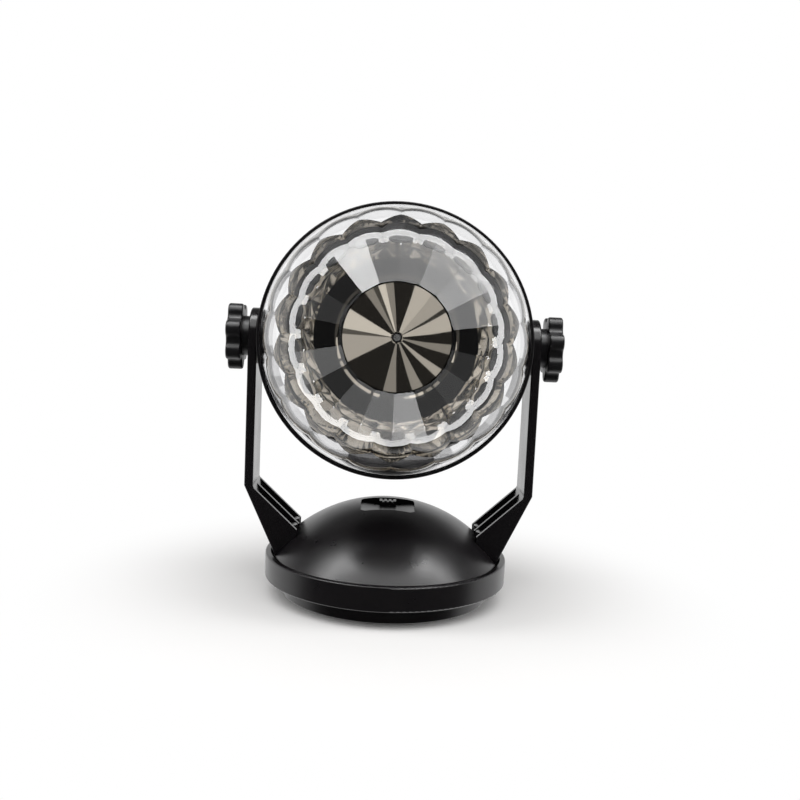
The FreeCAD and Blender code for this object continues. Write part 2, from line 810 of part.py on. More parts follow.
def right_knob():
    """Star grip with a collar, drawn on the local X axis."""
    step = math.radians(180.0 / lobe_count)
    lobe_place = grip_r - lobe_r
    valley_place = grip_r
    centre_gap = math.sqrt(
        lobe_place ** 2 + valley_place ** 2 - 2 * lobe_place * valley_place * math.cos(step)
    )
    valley_r = centre_gap - lobe_r
    share = lobe_r / centre_gap
    meet_x = lobe_place + share * (valley_place * math.cos(step) - lobe_place)
    meet_y = share * valley_place * math.sin(step)
    grip = post(math.hypot(meet_x, meet_y), 0, grip_t)
    for n in range(lobe_count):
        x, y = polar(lobe_place, n * 360.0 / lobe_count)
        grip = grip.fuse(post(lobe_r, 0, grip_t, x, y))
    for n in range(lobe_count):
        x, y = polar(valley_place, (n + 0.5) * 360.0 / lobe_count)
        grip = grip.cut(post(valley_r, -overrun, grip_t + overrun, x, y))
    grip = grip.removeSplitter()
    flat_edges = [e for e in grip.Edges if abs(e.BoundBox.ZMax - e.BoundBox.ZMin) < press_gap]
    grip = grip.makeFillet(min(grip_round, 0.3 * grip_t), flat_edges)
    grip = grip.fuse(post(collar_r, -collar_t, 0.5 * grip_t))
    bore_end = stud_in_grip + 0.5 * stud_r
    grip = grip.cut(post(stud_r + press_gap, -collar_t - overrun, bore_end))
    grip.rotate(V(0, 0, 0), V(0, 1, 0), 90)
    grip.translate(V(arm_out_x + face_gap + collar_t, 0, 0))
    return grip


def right_stud():
    """Threaded stud moulded into the knob."""
    inner = trunnion_face - insert_sink - stud_reach
    outer = arm_out_x + face_gap + collar_t + stud_in_grip
    return axle(stud_r, inner, outer)


def on_tilt_axis(shape):
    """Lifts a piece drawn on the X axis to the tilt axis, leaned with the head."""
    placed = shape.copy()
    placed.rotate(V(0, 0, 0), V(1, 0, 0), -head_tilt_deg)
    placed.translate(V(0, 0, axle_height))
    return placed


def other_side(shape):
    """Mirror image on the left of the lamp."""
    return shape.mirror(V(0, 0, 0), V(1, 0, 0))


def both_sides(shape):
    """A piece and its mirror image on the left."""
    return Part.makeCompound([shape, other_side(shape)])


def bowl_ball(radius):
    """Full ball on the centre of the bowl's curve."""
    return Part.makeSphere(radius, V(0, 0, bezel_joint))


head_boss_spots = [polar(head_boss_place_r, degrees) for degrees in head_boss_deg]
insert_out = trunnion_face - insert_sink
insert_in = insert_out - insert_length


def head_housing():
    """Front half of the black bowl, with trunnion bosses, chassis ledge and screw posts."""
    bowl = ball_band(bowl_r, bowl_wall, bezel_joint, bowl_split, bezel_joint)
    ledge = tube(bowl_r, ledge_r, chassis_back - ledge_t, chassis_back)
    bowl = bowl.fuse(ledge.common(bowl_ball(bowl_r - 0.5 * bowl_wall)))
    for x, y in head_boss_spots:
        bowl = bowl.fuse(post(head_boss_r, bowl_split, chassis_back, x, y))
    for degrees in head_boss_deg:
        web = block(
            head_boss_place_r, bowl_r, -0.5 * head_boss_web_t, 0.5 * head_boss_web_t,
            bowl_split + 1.5 * cap_lip_length, chassis_back - ledge_t,
        )
        web.rotate(V(0, 0, 0), V(0, 0, 1), degrees)
        bowl = bowl.fuse(web.common(bowl_ball(bowl_r - 0.5 * bowl_wall)))
    for side in (-1, 1):
        boss = axle(trunnion_r, 0, trunnion_face).cut(bowl_ball(bowl_inner_r + 0.5 * bowl_wall))
        core = axle(insert_boss_r, insert_in - bowl_wall, trunnion_face - 0.5 * washer_t)
        bore = axle(insert_r + press_gap, insert_in, trunnion_face + overrun)
        if side < 0:
            boss, core, bore = other_side(boss), other_side(core), other_side(bore)
        bowl = bowl.fuse(boss).fuse(core).cut(bore)
    for x, y in head_boss_spots:
        bowl = bowl.cut(post(screw_r + press_gap, bowl_split, bowl_split + screw_bite + screw_r, x, y))
        bowl = bowl.cut(post(screw_r + press_gap, chassis_back - screw_bite - screw_r, chassis_back, x, y))
    return bowl.removeSplitter()


def rear_cap():
    """Back of the bowl, with vents, screw wells, a locating lip and the microphone's seat."""
    cap = ball_band(bowl_r, bowl_wall, bezel_joint, bezel_joint - 2 * bowl_r, bowl_split)
    mouth_r = math.sqrt(bowl_inner_r ** 2 - (bezel_joint - bowl_split) ** 2)
    lip_r = mouth_r - loose_gap
    cap = cap.fuse(tube(lip_r, lip_r - cap_lip_t, bowl_split - cap_lip_length, bowl_split + cap_lip_length))
    inside = bowl_ball(bowl_r - 0.5 * bowl_wall)
    well_r = screw_head_r + running_gap
    well_floor = bowl_split - 1.5 * screw_r
    for x, y in head_boss_spots:
        well = post(well_r + well_wall, bezel_joint - bowl_r, bowl_split, x, y)
        cap = cap.fuse(well.common(inside))
    mic_seat_z = bezel_joint - mic_floor
    seat = post(mic_r + mic_wall, bezel_joint - bowl_r, mic_seat_z + 0.8 * mic_length, 0, mic_y)
    cap = cap.fuse(seat.common(inside))
    for x, y in head_boss_spots:
        cap = cap.cut(post(well_r, bezel_joint - bowl_r - overrun, well_floor, x, y))
        cap = cap.cut(post(screw_r + running_gap, well_floor - overrun, bowl_split + overrun, x, y))
    cap = cap.cut(post(mic_r + running_gap, mic_seat_z, mic_seat_z + 2 * mic_length, 0, mic_y))
    cap = cap.cut(post(mic_hole_r, bezel_joint - bowl_r - overrun, mic_seat_z + overrun, 0, mic_y))
    for n in range(vent_count):
        x = (n - 0.5 * (vent_count - 1)) * vent_pitch
        vent = block(
            x - 0.5 * vent_w, x + 0.5 * vent_w, -vent_half_length, vent_half_length,
            bezel_joint - bowl_r - overrun, bezel_joint - 0.8 * bowl_inner_r,
        )
        cap = cap.cut(vent)
    return cap.removeSplitter()


def rear_screws():
    """Screws in the wells of the rear cap."""
    well_floor = bowl_split - 1.5 * screw_r
    short = screw(bowl_split - well_floor + screw_bite)
    return Part.makeCompound([moved(short, x, y, well_floor) for x, y in head_boss_spots])


def microphone():
    """Round microphone capsule."""
    return post(mic_r, bezel_joint - mic_floor + face_gap, bezel_joint - mic_floor + mic_length, 0, mic_y)


def front_bezel():
    """Thin round rim that closes the bowl and runs round the skirt of the crystal dome."""
    ring = turned([
        (bezel_r, bezel_joint), (bezel_r, bezel_front),
        (bezel_opening_r, bezel_front), (bezel_opening_r, ball_groove),
        (spigot_ring_r - spigot_ring_t, ball_groove), (spigot_ring_r - spigot_ring_t, chassis_front),
        (spigot_ring_r, chassis_front), (spigot_ring_r, bezel_joint),
    ])
    edges = [(bezel_r, bezel_front), (bezel_r, bezel_joint)]
    return soften_rings(ring, min(bezel_round, 0.4 * bezel_lip), edges)


def chassis_plate():
    """Round plate that carries the lamp's works, clamped between the ledge and the bezel."""
    plate = post(chassis_r, chassis_back, chassis_front)
    plate = plate.fuse(post(chassis_hub_r, bush_bottom, chassis_back))
    board_face = chassis_back - board_gap
    for x, y in board_pegs():
        plate = plate.fuse(post(peg_r, board_face, chassis_back, x, y))
        plate = plate.fuse(post(peg_pin_r, board_face - 1.2 * board_t, chassis_back, x, y))
    low = chassis_back - overrun
    high = chassis_front + overrun
    plate = plate.cut(post(bush_r + press_gap, bush_bottom - overrun, high))
    plate = plate.cut(post(motor_nose_r + running_gap, low, high, 0, -mesh_distance))
    for x in (-motor_screw_x, motor_screw_x):
        plate = plate.cut(post(motor_screw_r + running_gap, low, high, x, -mesh_distance))
    for x, y in head_boss_spots:
        plate = plate.cut(post(screw_r + running_gap, low, high, x, y))
    return plate.removeSplitter()


def chassis_screws():
    """Screws that hold the chassis plate to the posts of the bowl."""
    short = flipped(screw(chassis_t + screw_bite))
    return Part.makeCompound([moved(short, x, y, chassis_front) for x, y in head_boss_spots])


def board_pegs():
    """Places of the pegs that carry the control board."""
    peg_x = board_half_x - peg_inset
    peg_y = board_half_y - peg_inset
    return [(x, board_y + y) for x, y in four_corners(peg_x, peg_y)]


def control_board():
    """Printed board that drives the motor and the lamps."""
    front = chassis_back - board_gap
    board = block(
        -board_half_x, board_half_x, board_y - board_half_y, board_y + board_half_y, front - board_t, front,
    )
    for x, y in board_pegs():
        board = board.cut(post(peg_pin_r + running_gap, front - board_t - overrun, front + overrun, x, y))
    return board


def board_parts():
    """Two driver chips and the smoothing capacitor on the back of the control board."""
    back = chassis_back - board_gap - board_t
    low_y = board_y - chip_half_y
    high_y = board_y + chip_half_y
    chips = [block(x - chip_half_x, x + chip_half_x, low_y, high_y, back - chip_t, back) for x in (-can_x, 0)]
    can = post(can_r, back - can_length, back, can_x, board_y)
    return Part.makeCompound(chips + [can])


def shaft_bush():
    """Flanged sleeve that the drive shaft turns in."""
    sleeve = turned([
        (shaft_r + running_gap, bush_bottom), (bush_r, bush_bottom), (bush_r, chassis_front),
        (bush_flange_r, chassis_front), (bush_flange_r, bush_top), (shaft_r + running_gap, bush_top),
    ])
    return sleeve


def led_places():
    """Places of the three lamps on the ring board."""
    return [polar(led_place_r, degrees) for degrees in led_deg]


def led_board():
    """Ring-shaped printed board under the dish, cleared round the chassis screws."""
    ring = tube(led_board_r, led_board_hole_r, chassis_front, board_front)
    for x, y in head_boss_spots:
        ring = ring.cut(post(screw_head_r + loose_gap, chassis_front - overrun, board_front + overrun, x, y))
    return ring


def led_chip(index):
    """One square lamp package."""
    x, y = led_places()[index]
    return block(x - led_half, x + led_half, y - led_half, y + led_half, board_front, board_front + led_t)


def led_lenses():
    """Clear domes over the three lamps."""
    lenses = []
    for x, y in led_places():
        body = post(lens_r, board_front, board_front + lens_height, x, y)
        crown = Part.makeSphere(lens_ball_r, V(x, y, board_front + lens_height - lens_ball_r))
        drum = post(lens_r, board_front, board_front + lens_height - lens_ball_r + 0.5 * lens_ball_r, x, y)
        body = body.common(crown.fuse(drum))
        lenses.append(body.cut(post(lens_cavity_r, board_front - overrun, board_front + lens_cavity_t, x, y)))
    return Part.makeCompound(lenses)


def cone_reflector():
    """Chrome-plated dish with a tall hollow cone in the middle, over the gears."""
    lean = (cone_base_r - cone_tip_r) / (cone_tip - dish_front)
    wall_dx = cone_wall * math.hypot(1, lean)
    bore_height = cone_tip - (cone_bore_r + wall_dx - cone_tip_r) / lean
    inner_base = cone_base_r + lean * dish_t - wall_dx
    cone = turned([
        (dish_r, chassis_front), (dish_r, dish_front), (cone_base_r, dish_front), (cone_tip_r, cone_tip),
        (cone_bore_r, cone_tip), (cone_bore_r, bore_height), (inner_base, dish_back),
        (dish_r - dish_rim_w, dish_back), (dish_r - dish_rim_w, chassis_front),
    ])
    for x, y in led_places():
        cone = cone.cut(post(lens_r + 0.5 * loose_gap, dish_back - overrun, dish_front + overrun, x, y))
    return cone


def half_space(distance, tilt_deg, turn_deg):
    """Block beyond a facet plane of the crystal dome."""
    size = 2 * ball_r
    outside = block(-size, size, -size, size, distance, distance + size)
    outside.rotate(V(0, 0, 0), V(0, 1, 0), tilt_deg)
    outside.rotate(V(0, 0, 0), V(0, 0, 1), turn_deg)
    outside.translate(V(0, 0, ball_centre))
    return outside


def crystal_dome():
    """Clear faceted dome on a smooth skirt, with a hub for the drive shaft under its flat top."""
    skin = Part.makeSphere(ball_r, V(0, 0, ball_centre))
    skin = skin.common(post(2 * ball_r, ball_centre, ball_centre + 2 * ball_r))
    step = 360.0 / facets_per_row
    for tilt, share, turn in zip(row_tilt_deg, row_distance_share, row_turn_share):
        for n in range(facets_per_row):
            skin = skin.cut(half_space(share * ball_r, tilt, 90 + (n + turn) * step))
    skin = skin.cut(half_space(cap_plane - ball_centre, 0, 0))
    skin = skin.fuse(post(ball_r, skirt_end, ball_centre))
    hollow = Part.makeSphere(ball_r - ball_wall, V(0, 0, ball_centre))
    hollow = hollow.common(post(ball_r, ball_centre, cap_inside))
    hollow = hollow.fuse(post(ball_r - ball_wall, skirt_end - overrun, ball_centre))
    skin = skin.cut(hollow)
    hub_end = cap_inside - ball_hub_length
    skin = skin.fuse(post(ball_hub_r, hub_end, cap_inside + 0.5 * ball_wall))
    bore = post(shaft_r + press_gap, hub_end - overrun, cap_inside - ball_hub_cap_t)
    return skin.cut(bore).removeSplitter()


def drive_shaft():
    """Steel shaft from the bush to the hub of the crystal dome."""
    tail = bush_bottom - shaft_tail
    rod = post(shaft_r, tail, cap_inside - ball_hub_cap_t)
    clip_z = tail + 0.5 * (shaft_tail - shaft_clip_t)
    groove_r = shaft_r - shaft_clip_bite
    return rod.cut(tube(2 * shaft_r, groove_r, clip_z - press_gap, clip_z + shaft_clip_t + press_gap))


def shaft_clip():
    """Small ring that keeps the shaft in its bush."""
    clip_z = bush_bottom - shaft_tail + 0.5 * (shaft_tail - shaft_clip_t)
    return tube(shaft_clip_r, shaft_r - shaft_clip_bite + press_gap, clip_z, clip_z + shaft_clip_t)


def gear_outline(teeth, low, high, hole_r):
    """Spur gear with involute flanks, one tooth pointing along +X."""
    pitch_r = 0.5 * tooth_module * teeth
    pressure = math.radians(20)
    base_r = pitch_r * math.cos(pressure)
    tip_r = pitch_r + tooth_module
    root_r = pitch_r - 1.25 * tooth_module
    involute_at_pitch = math.tan(pressure) - pressure
    half_tooth = math.pi / (2 * teeth) - 0.5 * tooth_backlash / pitch_r
    start_r = max(base_r, root_r)
    flank = []
    for n in range(5):
        radius = start_r + (tip_r - start_r) * n / 4
        roll = math.acos(min(1, base_r / radius))
        flank.append((radius, half_tooth + involute_at_pitch - (math.tan(roll) - roll)))
    corners = []
    for tooth in range(teeth):
        middle = 2 * math.pi * tooth / teeth
        side = [(root_r, middle - flank[0][1])] + [(r, middle - a) for r, a in flank]
        side += [(r, middle + a) for r, a in reversed(flank)] + [(root_r, middle + flank[0][1])]
        corners += [V(r * math.cos(a), r * math.sin(a), low) for r, a in side]
    outline = Part.makePolygon(corners + [corners[0]])
    blank = Part.Face(outline).extrude(V(0, 0, high - low))
    return blank.cut(post(hole_r, low - overrun, high + overrun))


def dome_gear():
    """Large gear pressed on the drive shaft under the cone."""
    gear = gear_outline(gear_teeth, gear_back, gear_back + gear_t, shaft_r + press_gap)
    hub_low = bush_top + 2 * face_gap
    return gear.fuse(tube(gear_hub_r, shaft_r + press_gap, hub_low, hub_low + gear_hub_t)).removeSplitter()


def motor_pinion():
    """Small gear on the motor shaft, one tooth pointing at the large gear."""
    low = gear_back - pinion_extra_t
    pinion = gear_outline(pinion_teeth, low, gear_back + gear_t + pinion_extra_t, motor_shaft_r + press_gap)
    pinion.rotate(V(0, 0, 0), V(0, 0, 1), 90)
    return moved(pinion, 0, -mesh_distance, 0)


def motor_shaft():
    """Output shaft of the geared motor."""
    tip = gear_back + gear_t + 2 * pinion_extra_t
    return post(motor_shaft_r, chassis_back - motor_shaft_root, tip, 0, -mesh_distance)


def motor():
    """Small geared motor: square gearbox, flat-sided can and nose, behind the chassis plate."""
    box_back = chassis_back - gearbox_length
    can_back = box_back - motor_can_length
    case = block(-motor_half_x, motor_half_x, -motor_half_y, motor_half_y, box_back, chassis_back)
    can = post(motor_half_x, can_back, box_back)
    flats = block(-motor_half_x, motor_half_x, -motor_half_y, motor_half_y, can_back, box_back)
    case = case.fuse(can.common(flats))
    case = case.fuse(post(motor_nose_r, chassis_back, chassis_back + motor_nose_t))
    bore_end = chassis_back - motor_shaft_root - running_gap
    case = case.cut(post(motor_shaft_r + running_gap, bore_end, chassis_front + overrun))
    bore_end = chassis_back - motor_screw_length
    for x in (-motor_screw_x, motor_screw_x):
        case = case.cut(post(motor_screw_r + press_gap, bore_end, chassis_back + overrun, x, 0))
    return moved(case.removeSplitter(), 0, -mesh_distance, 0)


def motor_screws():
    """Two small screws through the chassis plate into the gearbox."""
    small = flipped(screw(motor_screw_length, motor_screw_r, motor_screw_head_r, motor_screw_head_t))
    places = (-motor_screw_x, motor_screw_x)
    return Part.makeCompound([moved(small, x, -mesh_distance, chassis_front) for x in places])


os.makedirs("parts", exist_ok=True)

save("base_tub", base_tub())
save("bottom_cover", bottom_cover())
save("battery_door", battery_door())
save("door_screw", door_screw())
save("battery_tray", battery_tray())
save("battery_cells", battery_cells())
save("battery_contacts", battery_contacts())
save("contact_springs", contact_springs())
save("rubber_feet", rubber_feet())
save("cover_screws", cover_screws())
save("swivel_plate", swivel_plate())
save("plate_screws", plate_screws())
save("slide_ring", slide_ring())

arm = right_arm()
save("yoke_dome", yoke_dome())
save("right_arm", arm)
save("left_arm", other_side(arm))
save("arm_screws", arm_screws())
save("retaining_clip", retaining_clip())
save("switch_body", switch_body())
save("switch_slider", switch_slider())

knob = on_tilt_axis(right_knob())
stud = on_tilt_axis(right_stud())
insert = axle(insert_r, insert_in, insert_out).cut(axle(stud_r + running_gap, 0, 2 * insert_out))
washer = axle(trunnion_r, trunnion_face + face_gap, trunnion_face + face_gap + washer_t)
washer = washer.cut(axle(stud_r + stud_hole_gap, 0, 2 * trunnion_face))
save("right_knob", knob)
save("left_knob", other_side(knob))
save("right_stud", stud)
save("left_stud", other_side(stud))
save("threaded_inserts", both_sides(on_tilt_axis(insert)))
save("friction_washers", both_sides(on_tilt_axis(washer)))

save_in_head("head_housing", head_housing())
save_in_head("rear_cap", rear_cap())
save_in_head("rear_screws", rear_screws())
save_in_head("microphone", microphone())
save_in_head("front_bezel", front_bezel())
save_in_head("chassis_plate", chassis_plate())
save_in_head("chassis_screws", chassis_screws())
save_in_head("control_board", control_board())
save_in_head("board_parts", board_parts())
save_in_head("shaft_bush", shaft_bush())
save_in_head("led_board", led_board())
save_in_head("led_red", led_chip(0))
save_in_head("led_green", led_chip(1))
save_in_head("led_blue", led_chip(2))
save_in_head("led_lenses", led_lenses())
save_in_head("cone_reflector", cone_reflector())
save_in_head("motor", motor())
save_in_head("motor_screws", motor_screws())
save_in_head("crystal_dome", crystal_dome())
save_in_head("drive_shaft", drive_shaft())
save_in_head("shaft_clip", shaft_clip())
save_in_head("dome_gear", dome_gear())
save_in_head("motor_pinion", motor_pinion())
save_in_head("motor_shaft", motor_shaft())
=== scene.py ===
import math

import bpy
import mathutils
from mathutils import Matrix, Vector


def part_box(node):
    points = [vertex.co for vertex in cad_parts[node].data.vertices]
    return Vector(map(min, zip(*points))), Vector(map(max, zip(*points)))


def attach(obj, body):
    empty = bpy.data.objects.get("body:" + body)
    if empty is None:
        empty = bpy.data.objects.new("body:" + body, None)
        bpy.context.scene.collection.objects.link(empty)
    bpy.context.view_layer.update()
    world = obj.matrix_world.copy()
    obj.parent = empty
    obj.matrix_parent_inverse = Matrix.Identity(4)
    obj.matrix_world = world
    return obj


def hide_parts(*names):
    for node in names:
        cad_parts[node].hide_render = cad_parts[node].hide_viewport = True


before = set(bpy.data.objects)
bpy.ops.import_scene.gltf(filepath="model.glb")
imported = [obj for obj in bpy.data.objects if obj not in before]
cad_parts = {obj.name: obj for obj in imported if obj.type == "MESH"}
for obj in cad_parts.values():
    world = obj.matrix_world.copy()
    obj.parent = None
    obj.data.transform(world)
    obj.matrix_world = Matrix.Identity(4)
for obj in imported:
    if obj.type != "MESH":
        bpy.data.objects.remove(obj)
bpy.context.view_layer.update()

MM = 0.001

# Camera. It stands 35 cm in front of the lamp, a little above the tilt axis, and looks
# slightly down with a small roll, as the photograph does.
camera_place_mm = (-3.68, -349.67, 111.45)
camera_down_deg = 7.21
camera_right_deg = 1.03
camera_roll_deg = 2.59
focal_px = 1038.58
image_px = 800
sensor_mm = 36.0

bpy.ops.object.select_all(action="DESELECT")
bpy.ops.object.camera_add()
camera = bpy.context.object
camera.name = "camera"
camera.data.sensor_width = sensor_mm
camera.data.lens = sensor_mm * focal_px / image_px
camera.data.clip_start = 10 * MM
camera.data.clip_end = 20
down = math.radians(camera_down_deg)
aside = math.radians(camera_right_deg)
roll = math.radians(camera_roll_deg)
level = math.cos(down)
ahead = mathutils.Vector((math.sin(aside) * level, math.cos(aside) * level, -math.sin(down)))
right = mathutils.Vector((math.cos(aside), -math.sin(aside), 0))
up = right.cross(ahead)
camera_x = math.cos(roll) * right + math.sin(roll) * up
camera_y = math.cos(roll) * up - math.sin(roll) * right
turn = mathutils.Matrix((camera_x, camera_y, -ahead)).transposed()
camera.matrix_world = turn.to_4x4()
camera.location = mathutils.Vector(camera_place_mm) * MM
bpy.context.scene.camera = camera


# Studio. White paper under the lamp and white card low behind it. The clear dome shows what
# stands round it, so card strips stand beside and behind the lamp, and a ring of
# reflectors in front, one to each flat facet. Soft boxes hang above and at each side.
def linear(hex_colour):
    """Linear colour with alpha 1 from an sRGB hex value."""
    channels = [int(hex_colour[i:i + 2], 16) / 255 for i in (1, 3, 5)]
    return [c / 12.92 if c <= 0.04045 else ((c + 0.055) / 1.055) ** 2.4 for c in channels] + [1]


def grey(level):
    """Linear grey with alpha 1."""
    return (level, level, level, 1)


def add(tree, kind, links=None, steps=None, **settings):
    """Adds a shader node. A setting names a property or an input, links maps an input to an
    output, and steps gives a ramp its greys, each with the place where it begins."""
    node = tree.nodes.new(kind)
    for name, value in settings.items():
        if hasattr(node, name):
            setattr(node, name, value)
        else:
            node.inputs[name.replace("_", " ")].default_value = value
    for name, output in (links or {}).items():
        tree.links.new(output, node.inputs[name])
    if steps:
        node.color_ramp.interpolation = "CONSTANT"
        node.color_ramp.elements.remove(node.color_ramp.elements[1])
        for n, (start, level) in enumerate(steps):
            step = node.color_ramp.elements[0] if n == 0 else node.color_ramp.elements.new(start)
            step.position = start
            step.color = grey(level)
    return node


# the angle at which each card strip begins, clockwise from straight down, and its grey
card_strips = [
    (0, 0.02), (19, 0.62), (44, 0.48), (67.5, 0.05), (73, 0.6), (94, 0.02), (107, 0.3), (117, 0.02),
    (133, 0.5), (142, 0.02), (155, 0.35), (165, 0.02), (179, 0.3), (191, 0.02), (231, 0.5), (258, 0.12),
    (264, 0.75), (285, 0.02), (310, 0.3), (322, 0.08), (328, 0.8), (338, 0.3), (350, 0.02),
]
# where each band begins, from -1 in front to 1 behind, and how much of the strips it shows
strip_bands = [(-1, 1), (-0.72, 0), (0.0, 0.6), (0.62, 0)]
tent_edge = (-0.05, 0.2)
tent_grey = 0.06
# how strongly each facet's reflector glows, clockwise from straight down
reflector_glow = [3.5, 2, 0.5, 2.5, 0.1, 0.7, 0.3, 12, 1.5, 2, 4.5, 8, 4, 0.1, 0.6, 1.2, 0.8, 7]
ring_up_deg = 6.8
ring_from_deg = 56
ring_to_deg = 70.5
halo_to_deg = 86
halo_glow = 12.0
overhead_edge = (0.45, 0.8)
overhead_glow = 9.0
card_edge = (-0.15, 0.1)
card_top = (0.25, 0.6)
above_card = 0.12
dark_room = 0.02
room_light = 0.35
bpy.context.scene.view_settings.view_transform = "Standard"
world = bpy.data.worlds.new("studio")
bpy.context.scene.world = world
world.use_nodes = True
tree = world.node_tree
tree.nodes.clear()
path = add(tree, "ShaderNodeLightPath")
place = add(tree, "ShaderNodeTexCoord")
axes = add(tree, "ShaderNodeSeparateXYZ", {"Vector": place.outputs["Generated"]})

# angles off the ring's middle, and clockwise round it and round the lamp
ring_up = math.radians(ring_up_deg)
toward = add(tree, "ShaderNodeVectorMath", {0: place.outputs["Generated"]}, operation="DOT_PRODUCT")
toward.inputs[1].default_value = (0, -math.cos(ring_up), math.sin(ring_up))
above = add(tree, "ShaderNodeVectorMath", {0: place.outputs["Generated"]}, operation="DOT_PRODUCT")
above.inputs[1].default_value = (0, math.sin(ring_up), math.cos(ring_up))
masks = {}
for name, from_deg, to_deg in (("ring", ring_from_deg, ring_to_deg), ("halo", ring_to_deg, halo_to_deg)):
    mask = add(tree, "ShaderNodeValToRGB", {"Fac": toward.outputs["Value"]}, steps=[
        (0, 0), (math.cos(math.radians(to_deg)), 1), (math.cos(math.radians(from_deg)), 0)])
    masks[name] = mask.outputs["Color"]
turns = {}
for name, upward in (("ring", above.outputs["Value"]), ("strips", axes.outputs["Z"])):
    angle = add(tree, "ShaderNodeMath", {0: axes.outputs["X"], 1: upward}, operation="ARCTAN2")
    turn = add(tree, "ShaderNodeMapRange", {"Value": angle.outputs[0]}, From_Min=-math.pi, From_Max=math.pi)
    turns[name] = turn.outputs[0]

# the satin casing mirrors the low card and a glow overhead
behind = add(tree, "ShaderNodeMapRange", {"Value": axes.outputs["Y"]}, interpolation_type="SMOOTHSTEP",
             From_Min=card_edge[0], From_Max=card_edge[1], To_Min=dark_room, To_Max=1.0)
low = add(tree, "ShaderNodeMapRange", {"Value": axes.outputs["Z"]}, interpolation_type="SMOOTHSTEP",
          From_Min=card_top[0], From_Max=card_top[1], To_Min=1.0, To_Max=above_card)
low_card = add(tree, "ShaderNodeMath", {0: behind.outputs[0], 1: low.outputs[0]}, operation="MULTIPLY")
high = add(tree, "ShaderNodeMapRange", {"Value": axes.outputs["Z"]}, interpolation_type="SMOOTHSTEP",
           From_Min=overhead_edge[0], From_Max=overhead_edge[1])
overhead = add(tree, "ShaderNodeMath", {0: high.outputs[0], 1: masks["halo"]}, operation="MULTIPLY")
satin = add(tree, "ShaderNodeMixRGB", {"Fac": overhead.outputs[0], "Color1": low_card.outputs[0]},
            Color2=grey(overhead_glow))

# the polished dome mirrors the reflectors and a bright halo round them
brightest = max(reflector_glow)
reflectors = add(tree, "ShaderNodeValToRGB", {"Fac": turns["ring"]}, steps=[
    (n / len(reflector_glow), glow / brightest) for n, glow in enumerate(reflector_glow)])
glowing = add(tree, "ShaderNodeVectorMath", {0: reflectors.outputs["Color"]}, operation="SCALE",
              Scale=brightest)
ringed = add(tree, "ShaderNodeMixRGB", {
    "Fac": masks["ring"], "Color1": low_card.outputs[0], "Color2": glowing.outputs["Vector"]})
polished = add(tree, "ShaderNodeMixRGB", {"Fac": masks["halo"], "Color1": ringed.outputs["Color"]},
               Color2=grey(halo_glow))

# through the dome the card strips show, and between their bands a tent, dark in front
strips = add(tree, "ShaderNodeValToRGB", {"Fac": turns["strips"]}, steps=[
    (degrees / 360, level) for degrees, level in card_strips])
back = add(tree, "ShaderNodeMapRange", {"Value": axes.outputs["Y"]}, From_Min=-1.0, From_Max=1.0)
bands = add(tree, "ShaderNodeValToRGB", {"Fac": back.outputs[0]}, steps=[
    ((start + 1) / 2, share) for start, share in strip_bands])
tent = add(tree, "ShaderNodeMapRange", {"Value": axes.outputs["Y"]}, From_Min=tent_edge[0],
           From_Max=tent_edge[1], To_Min=tent_grey, To_Max=1.0)
through = add(tree, "ShaderNodeMixRGB", {
    "Fac": bands.outputs["Color"], "Color1": tent.outputs[0], "Color2": strips.outputs["Color"]})

mirrored = add(tree, "ShaderNodeMixRGB", {
    "Fac": path.outputs["Is Singular Ray"], "Color1": satin.outputs["Color"],
    "Color2": polished.outputs["Color"]})
shining = add(tree, "ShaderNodeMixRGB", {
    "Fac": path.outputs["Is Glossy Ray"], "Color2": mirrored.outputs["Color"]}, Color1=grey(room_light))
indirect = add(tree, "ShaderNodeMixRGB", {
    "Fac": path.outputs["Is Transmission Ray"], "Color1": shining.outputs["Color"],
    "Color2": through.outputs["Color"]})
direct = add(tree, "ShaderNodeMixRGB", {
    "Fac": path.outputs["Is Camera Ray"], "Color1": indirect.outputs["Color"]}, Color2=grey(1.0))
paper_light = add(tree, "ShaderNodeBackground", {"Color": direct.outputs["Color"]}, Strength=1.0)
add(tree, "ShaderNodeOutputWorld", {"Surface": paper_light.outputs[0]})


def blank(name):
    """New material whose tree holds only its output, with that output."""
    material = bpy.data.materials.new(name)
    material.use_nodes = True
    material.node_tree.nodes.clear()
    return material, material.node_tree, material.node_tree.nodes.new("ShaderNodeOutputMaterial")


floor_size_mm = 6000
shadow_room_mm = 52
white_from_mm = 125
bpy.ops.mesh.primitive_plane_add(size=floor_size_mm * MM, location=(0, 0, 0))
floor = bpy.context.object
floor.name = "studio_floor"
paper, tree, out = blank("white paper, matt")
place = add(tree, "ShaderNodeTexCoord")
from_lamp = add(tree, "ShaderNodeVectorMath", {0: place.outputs["Object"]}, operation="LENGTH")
far = add(tree, "ShaderNodeMapRange", {"Value": from_lamp.outputs["Value"]}, interpolation_type="SMOOTHSTEP",
          From_Min=shadow_room_mm * MM, From_Max=white_from_mm * MM)
path = add(tree, "ShaderNodeLightPath")
lit = add(tree, "ShaderNodeMath", {0: far.outputs[0], 1: path.outputs["Is Camera Ray"]}, operation="MULTIPLY")
matt = add(tree, "ShaderNodeBsdfDiffuse", Color=linear("#FBFAF9"))
white = add(tree, "ShaderNodeEmission", Strength=1.0)
sheet = add(tree, "ShaderNodeMixShader", {0: lit.outputs[0], 1: matt.outputs[0], 2: white.outputs[0]})
passing = add(tree, "ShaderNodeMath", {
    0: path.outputs["Is Glossy Ray"], 1: path.outputs["Is Transmission Ray"]}, operation="MAXIMUM")
open_below = add(tree, "ShaderNodeBsdfTransparent")
blend = add(tree, "ShaderNodeMixShader", {
    0: passing.outputs[0], 1: sheet.outputs[0], 2: open_below.outputs[0]})
tree.links.new(blend.outputs[0], out.inputs["Surface"])
floor.data.materials.append(paper)

